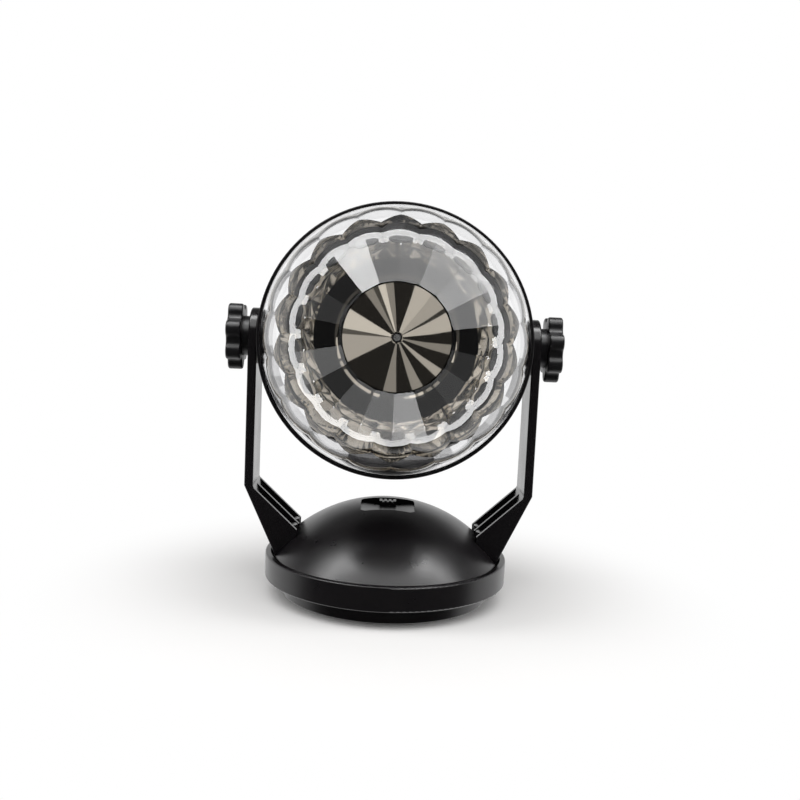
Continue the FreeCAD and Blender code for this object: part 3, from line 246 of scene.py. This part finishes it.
# each soft box's middle and size in mm, its power, and whether it shows in reflections
soft_boxes = {
    "soft_box_left": ((-520, -80, 300), (260, 620), 1.3, False),
    "soft_box_right": ((520, -80, 300), (260, 620), 1.3, False),
    "soft_box_top": ((0, -330, 640), (860, 420), 3.0, True),
}
aim_mm = (0, 0, 80)
for name, (spot, size, power, reflected) in soft_boxes.items():
    bpy.ops.object.light_add(type="AREA")
    lamp = bpy.context.object
    lamp.name = name
    lamp.location = mathutils.Vector(spot) * MM
    facing = mathutils.Vector(aim_mm) * MM - lamp.location
    lamp.rotation_euler = facing.to_track_quat("-Z", "Y").to_euler()
    lamp.data.shape = "RECTANGLE"
    lamp.data.size = size[0] * MM
    lamp.data.size_y = size[1] * MM
    lamp.data.energy = power
    lamp.visible_glossy = reflected
    lamp.visible_transmission = False


# Casing of base, yoke and head. Injection-moulded black ABS from spark-eroded moulds, which
# leaves a fine even grain: broad soft highlights, never sharp reflections.
def dress(material, *nodes):
    """Gives pieces of the frame a material."""
    for node in nodes:
        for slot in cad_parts[node].material_slots:
            slot.material = material


casing_grain_mm = 0.35
casing_cloud_mm = 9.0
casing, tree, out = blank("ABS, black, spark-grained moulding")
place = add(tree, "ShaderNodeTexCoord")
grain = add(tree, "ShaderNodeTexNoise", {
    "Vector": place.outputs["Object"]}, Scale=1 / (casing_grain_mm * MM),
    Detail=3.0, Roughness=0.6)
cloud = add(tree, "ShaderNodeTexNoise", {
    "Vector": place.outputs["Object"]}, Scale=1 / (casing_cloud_mm * MM),
    Detail=4.0)
# the mould's grain is about 0.05 mm and is drawn coarser so that it shows
relief = add(tree, "ShaderNodeBump", {"Height": grain.outputs["Fac"]}, Strength=0.3, Distance=0.02 * MM)
shine = add(tree, "ShaderNodeMapRange", {"Value": cloud.outputs["Fac"]}, From_Min=0.3, From_Max=0.7,
            To_Min=0.27, To_Max=0.34)
tone = add(tree, "ShaderNodeMixRGB", {"Fac": cloud.outputs["Fac"]}, Color1=linear("#111012"),
           Color2=linear("#171416"))
surface = add(tree, "ShaderNodeBsdfPrincipled", {
    "Base Color": tone.outputs["Color"], "Roughness": shine.outputs[0], "Normal": relief.outputs["Normal"]},
    IOR=1.53)
tree.links.new(surface.outputs[0], out.inputs["Surface"])
dress(casing, "base_tub", "bottom_cover", "battery_door", "yoke_dome", "switch_slider", "head_housing",
      "front_bezel", "rear_cap")

# Arms. The same ABS from a mould that was only stoned, so they shine more at a low angle.
arm_black, tree, out = blank("ABS, black, stoned mould")
place = add(tree, "ShaderNodeTexCoord")
grain = add(tree, "ShaderNodeTexNoise", {
    "Vector": place.outputs["Object"]}, Scale=1 / (casing_grain_mm * MM),
    Detail=2.0)
cloud = add(tree, "ShaderNodeTexNoise", {
    "Vector": place.outputs["Object"]}, Scale=1 / (casing_cloud_mm * MM),
    Detail=4.0)
relief = add(tree, "ShaderNodeBump", {"Height": grain.outputs["Fac"]}, Strength=0.15, Distance=0.01 * MM)
shine = add(tree, "ShaderNodeMapRange", {"Value": cloud.outputs["Fac"]}, From_Min=0.3, From_Max=0.7,
            To_Min=0.18, To_Max=0.24)
surface = add(tree, "ShaderNodeBsdfPrincipled", {
    "Roughness": shine.outputs[0], "Normal": relief.outputs["Normal"]},
    Base_Color=linear("#151315"), IOR=1.53)
tree.links.new(surface.outputs[0], out.inputs["Surface"])
dress(arm_black, "left_arm", "right_arm")

# Knobs. The same ABS from a mould with a coarser grain, rubbed a little smoother by fingers.
knob_grain_mm = 0.5
rubbed_patch_mm = 3.0
knob_black, tree, out = blank("ABS, black, coarse-grained moulding")
place = add(tree, "ShaderNodeTexCoord")
grain = add(tree, "ShaderNodeTexNoise", {"Vector": place.outputs["Object"]}, Scale=1 / (knob_grain_mm * MM),
            Detail=2.0, Roughness=0.5)
rubbed = add(tree, "ShaderNodeTexNoise", {
    "Vector": place.outputs["Object"]}, Scale=1 / (rubbed_patch_mm * MM), Detail=2.0)
relief = add(tree, "ShaderNodeBump", {"Height": grain.outputs["Fac"]}, Strength=0.35, Distance=0.03 * MM)
shine = add(tree, "ShaderNodeMapRange", {"Value": rubbed.outputs["Fac"]}, From_Min=0.3, From_Max=0.7,
            To_Min=0.28, To_Max=0.42)
surface = add(tree, "ShaderNodeBsdfPrincipled", {
    "Roughness": shine.outputs[0], "Normal": relief.outputs["Normal"]},
    Base_Color=linear("#161517"), IOR=1.53)
tree.links.new(surface.outputs[0], out.inputs["Surface"])
dress(knob_black, "left_knob", "right_knob")

# Inner mouldings. Plain black ABS straight from a polished mould, with faint flow clouds.
flow_cloud_mm = 5.0
inner, tree, out = blank("ABS, black, plain moulding")
place = add(tree, "ShaderNodeTexCoord")
flow = add(tree, "ShaderNodeTexNoise", {
    "Vector": place.outputs["Object"]}, Scale=1 / (flow_cloud_mm * MM), Detail=3.0)
shine = add(tree, "ShaderNodeMapRange", {"Value": flow.outputs["Fac"]}, To_Min=0.4, To_Max=0.6)
tone = add(tree, "ShaderNodeMixRGB", {"Fac": flow.outputs["Fac"]}, Color1=linear("#17171A"),
           Color2=linear("#1F1F22"))
surface = add(tree, "ShaderNodeBsdfPrincipled", {
    "Base Color": tone.outputs["Color"], "Roughness": shine.outputs[0]},
    IOR=1.53)
tree.links.new(surface.outputs[0], out.inputs["Surface"])
dress(inner, "battery_tray", "swivel_plate", "switch_body", "chassis_plate", "board_parts")

# Feet. Die-cut black rubber, matt and slightly mottled.
mottle_mm = 0.6
rubber, tree, out = blank("rubber, black, die-cut")
place = add(tree, "ShaderNodeTexCoord")
mottle = add(tree, "ShaderNodeTexNoise", {
    "Vector": place.outputs["Object"]}, Scale=1 / (mottle_mm * MM), Detail=4.0)
relief = add(tree, "ShaderNodeBump", {"Height": mottle.outputs["Fac"]}, Strength=0.3, Distance=0.03 * MM)
tone = add(tree, "ShaderNodeMixRGB", {"Fac": mottle.outputs["Fac"]}, Color1=linear("#121212"),
           Color2=linear("#1E1D1C"))
surface = add(tree, "ShaderNodeBsdfPrincipled", {
    "Base Color": tone.outputs["Color"], "Normal": relief.outputs["Normal"]}, Roughness=0.8, IOR=1.52)
tree.links.new(surface.outputs[0], out.inputs["Surface"])
dress(rubber, "rubber_feet")

# Screws, studs and contacts. Rolled steel with a bright zinc plate, a soft grey metal with
# faint blue and straw clouds.
plate_cloud_mm = 1.2
zinc, tree, out = blank("steel, bright zinc plated")
place = add(tree, "ShaderNodeTexCoord")
cloud = add(tree, "ShaderNodeTexNoise", {
    "Vector": place.outputs["Object"]}, Scale=1 / (plate_cloud_mm * MM), Detail=3.0)
tone = add(tree, "ShaderNodeMixRGB", {"Fac": cloud.outputs["Fac"]}, Color1=linear("#C4C8CF"),
           Color2=linear("#CFCBBF"))
shine = add(tree, "ShaderNodeMapRange", {"Value": cloud.outputs["Fac"]}, To_Min=0.22, To_Max=0.4)
surface = add(tree, "ShaderNodeBsdfPrincipled", {
    "Base Color": tone.outputs["Color"], "Roughness": shine.outputs[0]},
    Metallic=1.0)
tree.links.new(surface.outputs[0], out.inputs["Surface"])
dress(zinc, "door_screw", "cover_screws", "plate_screws", "arm_screws", "rear_screws", "chassis_screws",
      "motor_screws", "left_stud", "right_stud", "battery_contacts", "contact_springs")

# Clips. Stamped spring steel, hardened and oiled nearly black, with rubbed brighter spots.
worn_patch_mm = 1.5
spring, tree, out = blank("spring steel, oil-blackened")
place = add(tree, "ShaderNodeTexCoord")
rub = add(tree, "ShaderNodeTexNoise", {
    "Vector": place.outputs["Object"]}, Scale=1 / (worn_patch_mm * MM), Detail=4.0)
tone = add(tree, "ShaderNodeMixRGB", {"Fac": rub.outputs["Fac"]}, Color1=linear("#3A3A3D"),
           Color2=linear("#6B6A68"))
surface = add(tree, "ShaderNodeBsdfPrincipled", {
    "Base Color": tone.outputs["Color"]}, Metallic=1.0, Roughness=0.38)
tree.links.new(surface.outputs[0], out.inputs["Surface"])
dress(spring, "retaining_clip", "shaft_clip")

# Shafts. Ground silver steel, bright, with a fine uneven shine.
ground_cloud_mm = 0.3
ground, tree, out = blank("silver steel, ground")
place = add(tree, "ShaderNodeTexCoord")
lines = add(tree, "ShaderNodeTexNoise", {
    "Vector": place.outputs["Object"]}, Scale=1 / (ground_cloud_mm * MM), Detail=1.0)
shine = add(tree, "ShaderNodeMapRange", {"Value": lines.outputs["Fac"]}, To_Min=0.1, To_Max=0.25)
surface = add(tree, "ShaderNodeBsdfPrincipled", {
    "Roughness": shine.outputs[0]}, Base_Color=linear("#D2D2D0"),
    Metallic=1.0)
tree.links.new(surface.outputs[0], out.inputs["Surface"])
dress(ground, "drive_shaft", "motor_shaft")

# Bush and threaded inserts. Turned brass, warm and bright with a fine uneven tone.
turned_cloud_mm = 0.4
brass, tree, out = blank("brass, turned")
place = add(tree, "ShaderNodeTexCoord")
marks = add(tree, "ShaderNodeTexNoise", {
    "Vector": place.outputs["Object"]}, Scale=1 / (turned_cloud_mm * MM), Detail=2.0)
tone = add(tree, "ShaderNodeMixRGB", {"Fac": marks.outputs["Fac"]}, Color1=linear("#C79A4B"),
           Color2=linear("#DDB96C"))
shine = add(tree, "ShaderNodeMapRange", {"Value": marks.outputs["Fac"]}, To_Min=0.18, To_Max=0.34)
surface = add(tree, "ShaderNodeBsdfPrincipled", {
    "Base Color": tone.outputs["Color"], "Roughness": shine.outputs[0]},
    Metallic=1.0)
tree.links.new(surface.outputs[0], out.inputs["Surface"])
dress(brass, "shaft_bush", "threaded_inserts")

# Gears, slide ring and washers. Natural acetal, milky white and slippery, light bleeds a
# little into its edges.
milk_cloud_mm = 4.0
acetal, tree, out = blank("acetal, natural, moulded")
place = add(tree, "ShaderNodeTexCoord")
milk = add(tree, "ShaderNodeTexNoise", {
    "Vector": place.outputs["Object"]}, Scale=1 / (milk_cloud_mm * MM), Detail=2.0)
tone = add(tree, "ShaderNodeMixRGB", {"Fac": milk.outputs["Fac"]}, Color1=linear("#E9E7DF"),
           Color2=linear("#F2F0EA"))
surface = add(tree, "ShaderNodeBsdfPrincipled", {
    "Base Color": tone.outputs["Color"]}, Roughness=0.34, IOR=1.48,
    Subsurface_Weight=0.15, Subsurface_Scale=1.0 * MM)
tree.links.new(surface.outputs[0], out.inputs["Surface"])
dress(acetal, "slide_ring", "friction_washers", "dome_gear", "motor_pinion")

# Boards. Glass epoxy under green solder resist, glossy, with paler copper areas beneath it.
track_pitch_mm = 1.6
board, tree, out = blank("glass epoxy board, green solder resist")
place = add(tree, "ShaderNodeTexCoord")
tracks = add(tree, "ShaderNodeTexVoronoi", {"Vector": place.outputs["Object"]}, feature="DISTANCE_TO_EDGE",
             distance="MANHATTAN", Scale=1 / (track_pitch_mm * MM))
edge = add(tree, "ShaderNodeMapRange", {"Value": tracks.outputs["Distance"]}, From_Min=0.05, From_Max=0.08)
tone = add(tree, "ShaderNodeMixRGB", {
    "Fac": edge.outputs[0]}, Color1=linear("#0D4A2A"), Color2=linear("#1B6B3E"))
surface = add(tree, "ShaderNodeBsdfPrincipled", {
    "Base Color": tone.outputs["Color"]}, Roughness=0.25, IOR=1.52)
tree.links.new(surface.outputs[0], out.inputs["Surface"])
dress(board, "led_board", "control_board")

# Cells. A shrunk PVC sleeve, plain dark grey with a paler band at one end.
band_from_mm = 14.0
band_edge_mm = 0.1
jacket, tree, out = blank("PVC sleeve, shrunk on")
place = add(tree, "ShaderNodeTexCoord")
axes = add(tree, "ShaderNodeSeparateXYZ", {"Vector": place.outputs["Object"]})
band = add(tree, "ShaderNodeMapRange", {"Value": axes.outputs["X"]}, From_Min=band_from_mm * MM,
           From_Max=(band_from_mm + band_edge_mm) * MM)
tone = add(tree, "ShaderNodeMixRGB", {
    "Fac": band.outputs[0]}, Color1=linear("#3B3D42"), Color2=linear("#B9A06A"))
surface = add(tree, "ShaderNodeBsdfPrincipled", {
    "Base Color": tone.outputs["Color"]}, Roughness=0.3, IOR=1.54)
tree.links.new(surface.outputs[0], out.inputs["Surface"])
dress(jacket, "battery_cells")

# Motor and microphone cans. Drawn steel, nickel plated, smooth with faint clouds.
drawn_line_mm = 0.8
can, tree, out = blank("drawn steel can, nickel plated")
place = add(tree, "ShaderNodeTexCoord")
drawn = add(tree, "ShaderNodeTexNoise", {
    "Vector": place.outputs["Object"]}, Scale=1 / (drawn_line_mm * MM), Detail=3.0)
shine = add(tree, "ShaderNodeMapRange", {"Value": drawn.outputs["Fac"]}, To_Min=0.2, To_Max=0.32)
surface = add(tree, "ShaderNodeBsdfPrincipled", {
    "Roughness": shine.outputs[0]}, Base_Color=linear("#C6C2B6"),
    Metallic=1.0)
tree.links.new(surface.outputs[0], out.inputs["Surface"])
dress(can, "motor", "microphone")

# Lamps. Three small light-emitting packages of cast epoxy, red, grey green and grey blue,
# each a little mottled.
tint_grain_mm = 0.8
package_colours = {"led_red": ("#8E1420", "#C2303A"), "led_green": ("#26352C", "#5B6B58"),
                   "led_blue": ("#232A3A", "#566078")}
for node, (dark, pale) in package_colours.items():
    package, tree, out = blank("cast epoxy lamp package, " + node.split("_")[1])
    place = add(tree, "ShaderNodeTexCoord")
    pad = add(tree, "ShaderNodeTexNoise", {
        "Vector": place.outputs["Object"]}, Scale=1 / (tint_grain_mm * MM), Detail=1.0)
    tone = add(tree, "ShaderNodeMixRGB", {"Fac": pad.outputs["Fac"]}, Color1=linear(dark),
               Color2=linear(pale))
    surface = add(tree, "ShaderNodeBsdfPrincipled", {
        "Base Color": tone.outputs["Color"]}, Roughness=0.2, IOR=1.5)
    tree.links.new(surface.outputs[0], out.inputs["Surface"])
    dress(package, node)

# Lamp lenses. Clear acrylic cups with domed tops, as cast, so slightly uneven.
cast_ripple_mm = 2.0
lens_clear, tree, out = blank("acrylic, clear, small lens")
place = add(tree, "ShaderNodeTexCoord")
ripple = add(tree, "ShaderNodeTexNoise", {
    "Vector": place.outputs["Object"]}, Scale=1 / (cast_ripple_mm * MM), Detail=1.0)
relief = add(tree, "ShaderNodeBump", {"Height": ripple.outputs["Fac"]}, Strength=0.1, Distance=0.02 * MM)
surface = add(tree, "ShaderNodeBsdfPrincipled", {
    "Normal": relief.outputs["Normal"]}, Base_Color=linear("#F8FAFA"),
    Roughness=0.02, IOR=1.49, Transmission_Weight=1.0)
tree.links.new(surface.outputs[0], out.inputs["Surface"])
dress(lens_clear, "led_lenses")

# Cone reflector. Moulded plastic, lacquered and vacuum-metallised with aluminium: a true
# mirror with a faint straw tint from its top lacquer.
haze_patch_mm = 3.0
mirror, tree, out = blank("vacuum-metallised plastic, lacquered")
place = add(tree, "ShaderNodeTexCoord")
haze = add(tree, "ShaderNodeTexNoise", {
    "Vector": place.outputs["Object"]}, Scale=1 / (haze_patch_mm * MM), Detail=2.0)
shine = add(tree, "ShaderNodeMapRange", {"Value": haze.outputs["Fac"]}, To_Min=0.01, To_Max=0.05)
surface = add(tree, "ShaderNodeBsdfPrincipled", {
    "Roughness": shine.outputs[0]}, Base_Color=linear("#E4DBCB"), Metallic=1.0)
tree.links.new(surface.outputs[0], out.inputs["Surface"])

# heights along the head's axis count from the tilt axle, and the slope's angle from the axis
axle_mm = 86.8
head_tilt_deg = 5.4
mirror_tip_r_mm = 2.3
mirror_base_r_mm = 28.5
mirror_slope_deg = 34.0
mirror_top_mm = 49.31
mirror_dish_mm = 10.4
dish_lip_mm = 0.6
cone_segments = 360
cone_smooth_deg = 20.0
dish_r = 0.5 * (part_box("cone_reflector")[1][0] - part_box("cone_reflector")[0][0])
slope_drop_mm = (mirror_base_r_mm - mirror_tip_r_mm) / math.tan(math.radians(mirror_slope_deg))
slope_middle_mm = mirror_top_mm - 0.5 * slope_drop_mm
bpy.ops.object.select_all(action="DESELECT")
bpy.ops.mesh.primitive_cone_add(vertices=cone_segments, radius1=mirror_base_r_mm * MM,
                                radius2=mirror_tip_r_mm * MM, depth=slope_drop_mm * MM,
                                end_fill_type="NOTHING", location=(0, 0, slope_middle_mm * MM))
cone = bpy.context.object
cone.name = "cone_reflector_bright"
bpy.ops.object.transform_apply(location=True, rotation=False, scale=False)

# the slope's lower edge is drawn down to the dish, out to the dish's edge and down its lip
for vertex in cone.data.vertices:
    vertex.select = vertex.co.z < slope_middle_mm * MM
for edge in cone.data.edges:
    edge.select = all(cone.data.vertices[v].select for v in edge.vertices)
bpy.ops.object.mode_set(mode="EDIT")
bpy.ops.mesh.select_mode(type="EDGE")
dish_drop = (mirror_dish_mm - mirror_top_mm + slope_drop_mm) * MM
bpy.ops.mesh.extrude_edges_move(TRANSFORM_OT_translate={"value": (0, 0, dish_drop)})
bpy.ops.mesh.extrude_edges_move()
dish_grow = dish_r / (mirror_base_r_mm * MM)
bpy.ops.transform.resize(value=(dish_grow, dish_grow, 1))
bpy.ops.mesh.extrude_edges_move(TRANSFORM_OT_translate={"value": (0, 0, -dish_lip_mm * MM)})
bpy.ops.object.mode_set(mode="OBJECT")
bpy.ops.object.shade_smooth_by_angle(angle=math.radians(cone_smooth_deg))
lean = mathutils.Matrix.Rotation(math.radians(90 - head_tilt_deg), 4, "X")
raised = mathutils.Matrix.Translation((0, 0, axle_mm * MM))
cone.data.transform(raised @ lean)
cone.data.materials.append(mirror)
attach(cone, "head")
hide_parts("cone_reflector")

# Crystal dome. One clear acrylic moulding: a flat top, a row of flat facets and two rows of
# lens facets over a smooth skirt. It is smooth and round inside, where a hub and a shallow
# metallised cone stand under the flat top.
ball_r_mm = 43.2
ball_wall_mm = 1.8
cap_wall_mm = 2.2
ball_centre_mm = 16.5
skirt_end_mm = 12.4
cap_facet_deg = 21.8
facets = 18
# each row's angle off the axis, its distance from the middle as a share of the ball's
# radius, and its turn as a share of a facet
facet_rows = [(30.53, 0.98556, 0.5), (49.9, 0.98027, 0.0), (60.5, 0.9798, 0.5)]
lens_r_mm = 18.0
lens_centre_mm = 26.3
lens_cuts = 7
edge_chamfer_mm = 0.14
smooth_deg = 8.0
round_segments = 144
mirror_depth_mm = 2.6
mirror_r_mm = 15.6
hub_r_mm = 1.5
hub_length_mm = 1.7
bore_r_mm = 1.0
bore_end_mm = 0.5
cut_tolerance = 1e-7
touch_mm = 0.001
weld_mm = 0.02
same_direction = 1 - 1e-6
flat_from = 0.999
cone_from = 0.9

bpy.ops.object.select_all(action="DESELECT")
bpy.ops.mesh.primitive_uv_sphere_add(segments=round_segments, ring_count=round_segments // 2,
                                     radius=ball_r_mm * MM)
crystal = bpy.context.object
crystal.name = "crystal_dome_clear"
bpy.ops.object.mode_set(mode="EDIT")
bpy.ops.mesh.select_all(action="SELECT")
bpy.ops.mesh.bisect(plane_co=(0, 0, 0), plane_no=(0, 0, 1), clear_inner=True, threshold=cut_tolerance)
cap_height = ball_r_mm * MM * math.cos(math.radians(cap_facet_deg))
bpy.ops.mesh.select_all(action="SELECT")
bpy.ops.mesh.bisect(plane_co=(0, 0, cap_height), plane_no=(0, 0, 1), clear_outer=True, use_fill=True,
                    threshold=cut_tolerance)
planes = {}
for row, (tilt_deg, share, offset) in enumerate(facet_rows):
    tilt = math.radians(tilt_deg)
    for n in range(facets):
        angle = math.pi / 2 + (n + offset) * 2 * math.pi / facets
        normal = mathutils.Vector((
            math.sin(tilt) * math.cos(angle), math.sin(tilt) * math.sin(angle), math.cos(tilt)))
        planes[row, n] = (normal, share * ball_r_mm * MM)
        bpy.ops.mesh.select_all(action="SELECT")
        bpy.ops.mesh.bisect(plane_co=normal * planes[row, n][1], plane_no=normal, clear_outer=True,
                            use_fill=True, threshold=cut_tolerance)
bpy.ops.mesh.select_all(action="SELECT")
bpy.ops.mesh.remove_doubles(threshold=weld_mm * MM)
bpy.ops.mesh.select_all(action="DESELECT")
bpy.ops.object.mode_set(mode="OBJECT")


def faces_on(cuts):
    """The dome's faces that lie in one of some planes."""
    return [face.index for face in crystal.data.polygons
            if any(face.normal.dot(normal) > same_direction
                   and abs(face.center.dot(normal) - reach) < touch_mm * MM for normal, reach in cuts)]


# the edges between two flat facets get a narrow chamfer
flats = [planes[0, n] for n in range(facets)] + [(mathutils.Vector((0, 0, 1)), cap_height)]
flat_corners = [set(crystal.data.polygons[index].vertices) for index in faces_on(flats)]
for edge in crystal.data.edges:
    edge.select = sum(set(edge.vertices) <= corners for corners in flat_corners) == 2
bpy.ops.object.mode_set(mode="EDIT")
bpy.ops.mesh.select_mode(type="EDGE")
bpy.ops.mesh.bevel(offset=edge_chamfer_mm * MM, segments=1, affect="EDGES")
bpy.ops.mesh.select_all(action="DESELECT")
bpy.ops.object.mode_set(mode="OBJECT")

# the facets of the two outer rows are divided, and their points move out onto a lens
domed = [planes[row, n] for row in (1, 2) for n in range(facets)]
for index in faces_on(domed):
    crystal.data.polygons[index].select = True
bpy.ops.object.mode_set(mode="EDIT")
bpy.ops.mesh.select_mode(type="FACE")
bpy.ops.mesh.poke()
bpy.ops.mesh.subdivide(number_cuts=lens_cuts)
bpy.ops.object.mode_set(mode="OBJECT")
lens_squares = (lens_r_mm * MM) ** 2 - (lens_centre_mm * MM) ** 2
for vertex in crystal.data.vertices:
    out_by = vertex.co.length
    if not any(abs(normal.dot(vertex.co) - reach) < touch_mm * MM for normal, reach in domed):
        continue
    if out_by > (ball_r_mm - touch_mm) * MM:
        continue
    if any(normal.dot(vertex.co) > reach - weld_mm * MM for normal, reach in flats):
        continue
    along = max(lens_centre_mm * MM * planes[1, 0][1] / reach * normal.dot(vertex.co) / out_by
                for normal, reach in domed)
    vertex.co *= max(out_by, along + math.sqrt(max(0, along ** 2 + lens_squares))) / out_by

# the open edge is drawn down to the skirt's end and in by the wall
hollow_r_mm = ball_r_mm - ball_wall_mm
skirt_drop = (skirt_end_mm - ball_centre_mm) * MM
bpy.ops.object.mode_set(mode="EDIT")
bpy.ops.mesh.select_mode(type="EDGE")
bpy.ops.mesh.select_all(action="DESELECT")
bpy.ops.mesh.select_non_manifold(extend=False)
bpy.ops.mesh.extrude_edges_move(TRANSFORM_OT_translate={"value": (0, 0, skirt_drop)})
bpy.ops.mesh.extrude_edges_move()
bpy.ops.transform.resize(value=(hollow_r_mm / ball_r_mm, hollow_r_mm / ball_r_mm, 1))
bpy.ops.object.mode_set(mode="OBJECT")

# the inside is a smaller ball with a flat, and the flat gets the mirror's cone, hub and bore
bpy.ops.object.select_all(action="DESELECT")
bpy.ops.mesh.primitive_uv_sphere_add(segments=round_segments, ring_count=round_segments // 2,
                                     radius=hollow_r_mm * MM)
hollow = bpy.context.object
flat_height = cap_height - cap_wall_mm * MM
bpy.ops.object.mode_set(mode="EDIT")
bpy.ops.mesh.select_all(action="SELECT")
bpy.ops.mesh.bisect(plane_co=(0, 0, 0), plane_no=(0, 0, 1), clear_inner=True, threshold=cut_tolerance)
bpy.ops.mesh.select_all(action="SELECT")
bpy.ops.mesh.bisect(plane_co=(0, 0, flat_height), plane_no=(0, 0, 1), clear_outer=True, use_fill=True,
                    threshold=cut_tolerance)
bpy.ops.mesh.select_all(action="DESELECT")
bpy.ops.object.mode_set(mode="OBJECT")
for face in hollow.data.polygons:
    face.select = abs(face.center.z - flat_height) < touch_mm * MM and abs(face.normal.z) > flat_from
bpy.ops.object.mode_set(mode="EDIT")
flat_r = math.sqrt((hollow_r_mm * MM) ** 2 - flat_height ** 2)
bpy.ops.mesh.inset(thickness=flat_r - mirror_r_mm * MM)
bpy.ops.mesh.inset(thickness=(mirror_r_mm - hub_r_mm) * MM, depth=-mirror_depth_mm * MM)
bpy.ops.mesh.extrude_region_move(TRANSFORM_OT_translate={"value": (0, 0, -hub_length_mm * MM)})
bpy.ops.mesh.inset(thickness=(hub_r_mm - bore_r_mm) * MM)
bpy.ops.mesh.extrude_region_move(TRANSFORM_OT_translate={"value": (0, 0, (hub_length_mm - bore_end_mm) * MM)})
bpy.ops.mesh.select_mode(type="EDGE")
bpy.ops.mesh.select_all(action="DESELECT")
bpy.ops.mesh.select_non_manifold(extend=False)
bpy.ops.mesh.extrude_edges_move(TRANSFORM_OT_translate={"value": (0, 0, skirt_drop)})
bpy.ops.object.mode_set(mode="OBJECT")
crystal.select_set(True)
bpy.context.view_layer.objects.active = crystal
bpy.ops.object.join()
bpy.ops.object.mode_set(mode="EDIT")
bpy.ops.mesh.select_all(action="SELECT")
bpy.ops.mesh.remove_doubles(threshold=touch_mm * MM)
bpy.ops.mesh.normals_make_consistent(inside=False)
bpy.ops.object.mode_set(mode="OBJECT")

# smooth shading up to a small angle, and flat on the chamfers between the flat facets
bpy.ops.object.shade_smooth_by_angle(angle=math.radians(smooth_deg))
for face in crystal.data.polygons:
    corners = [crystal.data.vertices[v].co for v in face.vertices]
    if all(any(abs(normal.dot(corner) - reach) < 2 * touch_mm * MM for normal, reach in flats)
           for corner in corners):
        face.use_smooth = False
for index in faces_on(flats):
    crystal.data.polygons[index].use_smooth = True
mirror_faces = [
    face.index for face in crystal.data.polygons
    if flat_height - mirror_depth_mm * MM < face.center.z < flat_height
    and -flat_from < face.normal.z < -cone_from]
forward = mathutils.Matrix.Translation((0, 0, ball_centre_mm * MM))
crystal.data.transform(raised @ lean @ forward)

pull_patch_mm = 14.0
acrylic, tree, out = blank("acrylic, clear, polished mould")
place = add(tree, "ShaderNodeTexCoord")
pull = add(tree, "ShaderNodeTexNoise", {
    "Vector": place.outputs["Object"]}, Scale=1 / (pull_patch_mm * MM), Detail=1.0)
relief = add(tree, "ShaderNodeBump", {"Height": pull.outputs["Fac"]}, Strength=0.1, Distance=0.1 * MM)
surface = add(tree, "ShaderNodeBsdfPrincipled", {
    "Normal": relief.outputs["Normal"]}, Base_Color=linear("#FDFDFE"),
    Roughness=0.0, IOR=1.49, Transmission_Weight=1.0)
tree.links.new(surface.outputs[0], out.inputs["Surface"])
crystal.data.materials.clear()
crystal.data.materials.append(acrylic)
crystal.data.materials.append(mirror)
for face in crystal.data.polygons:
    face.material_index = 0
for index in mirror_faces:
    crystal.data.polygons[index].material_index = 1
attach(crystal, "ball")
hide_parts("crystal_dome")
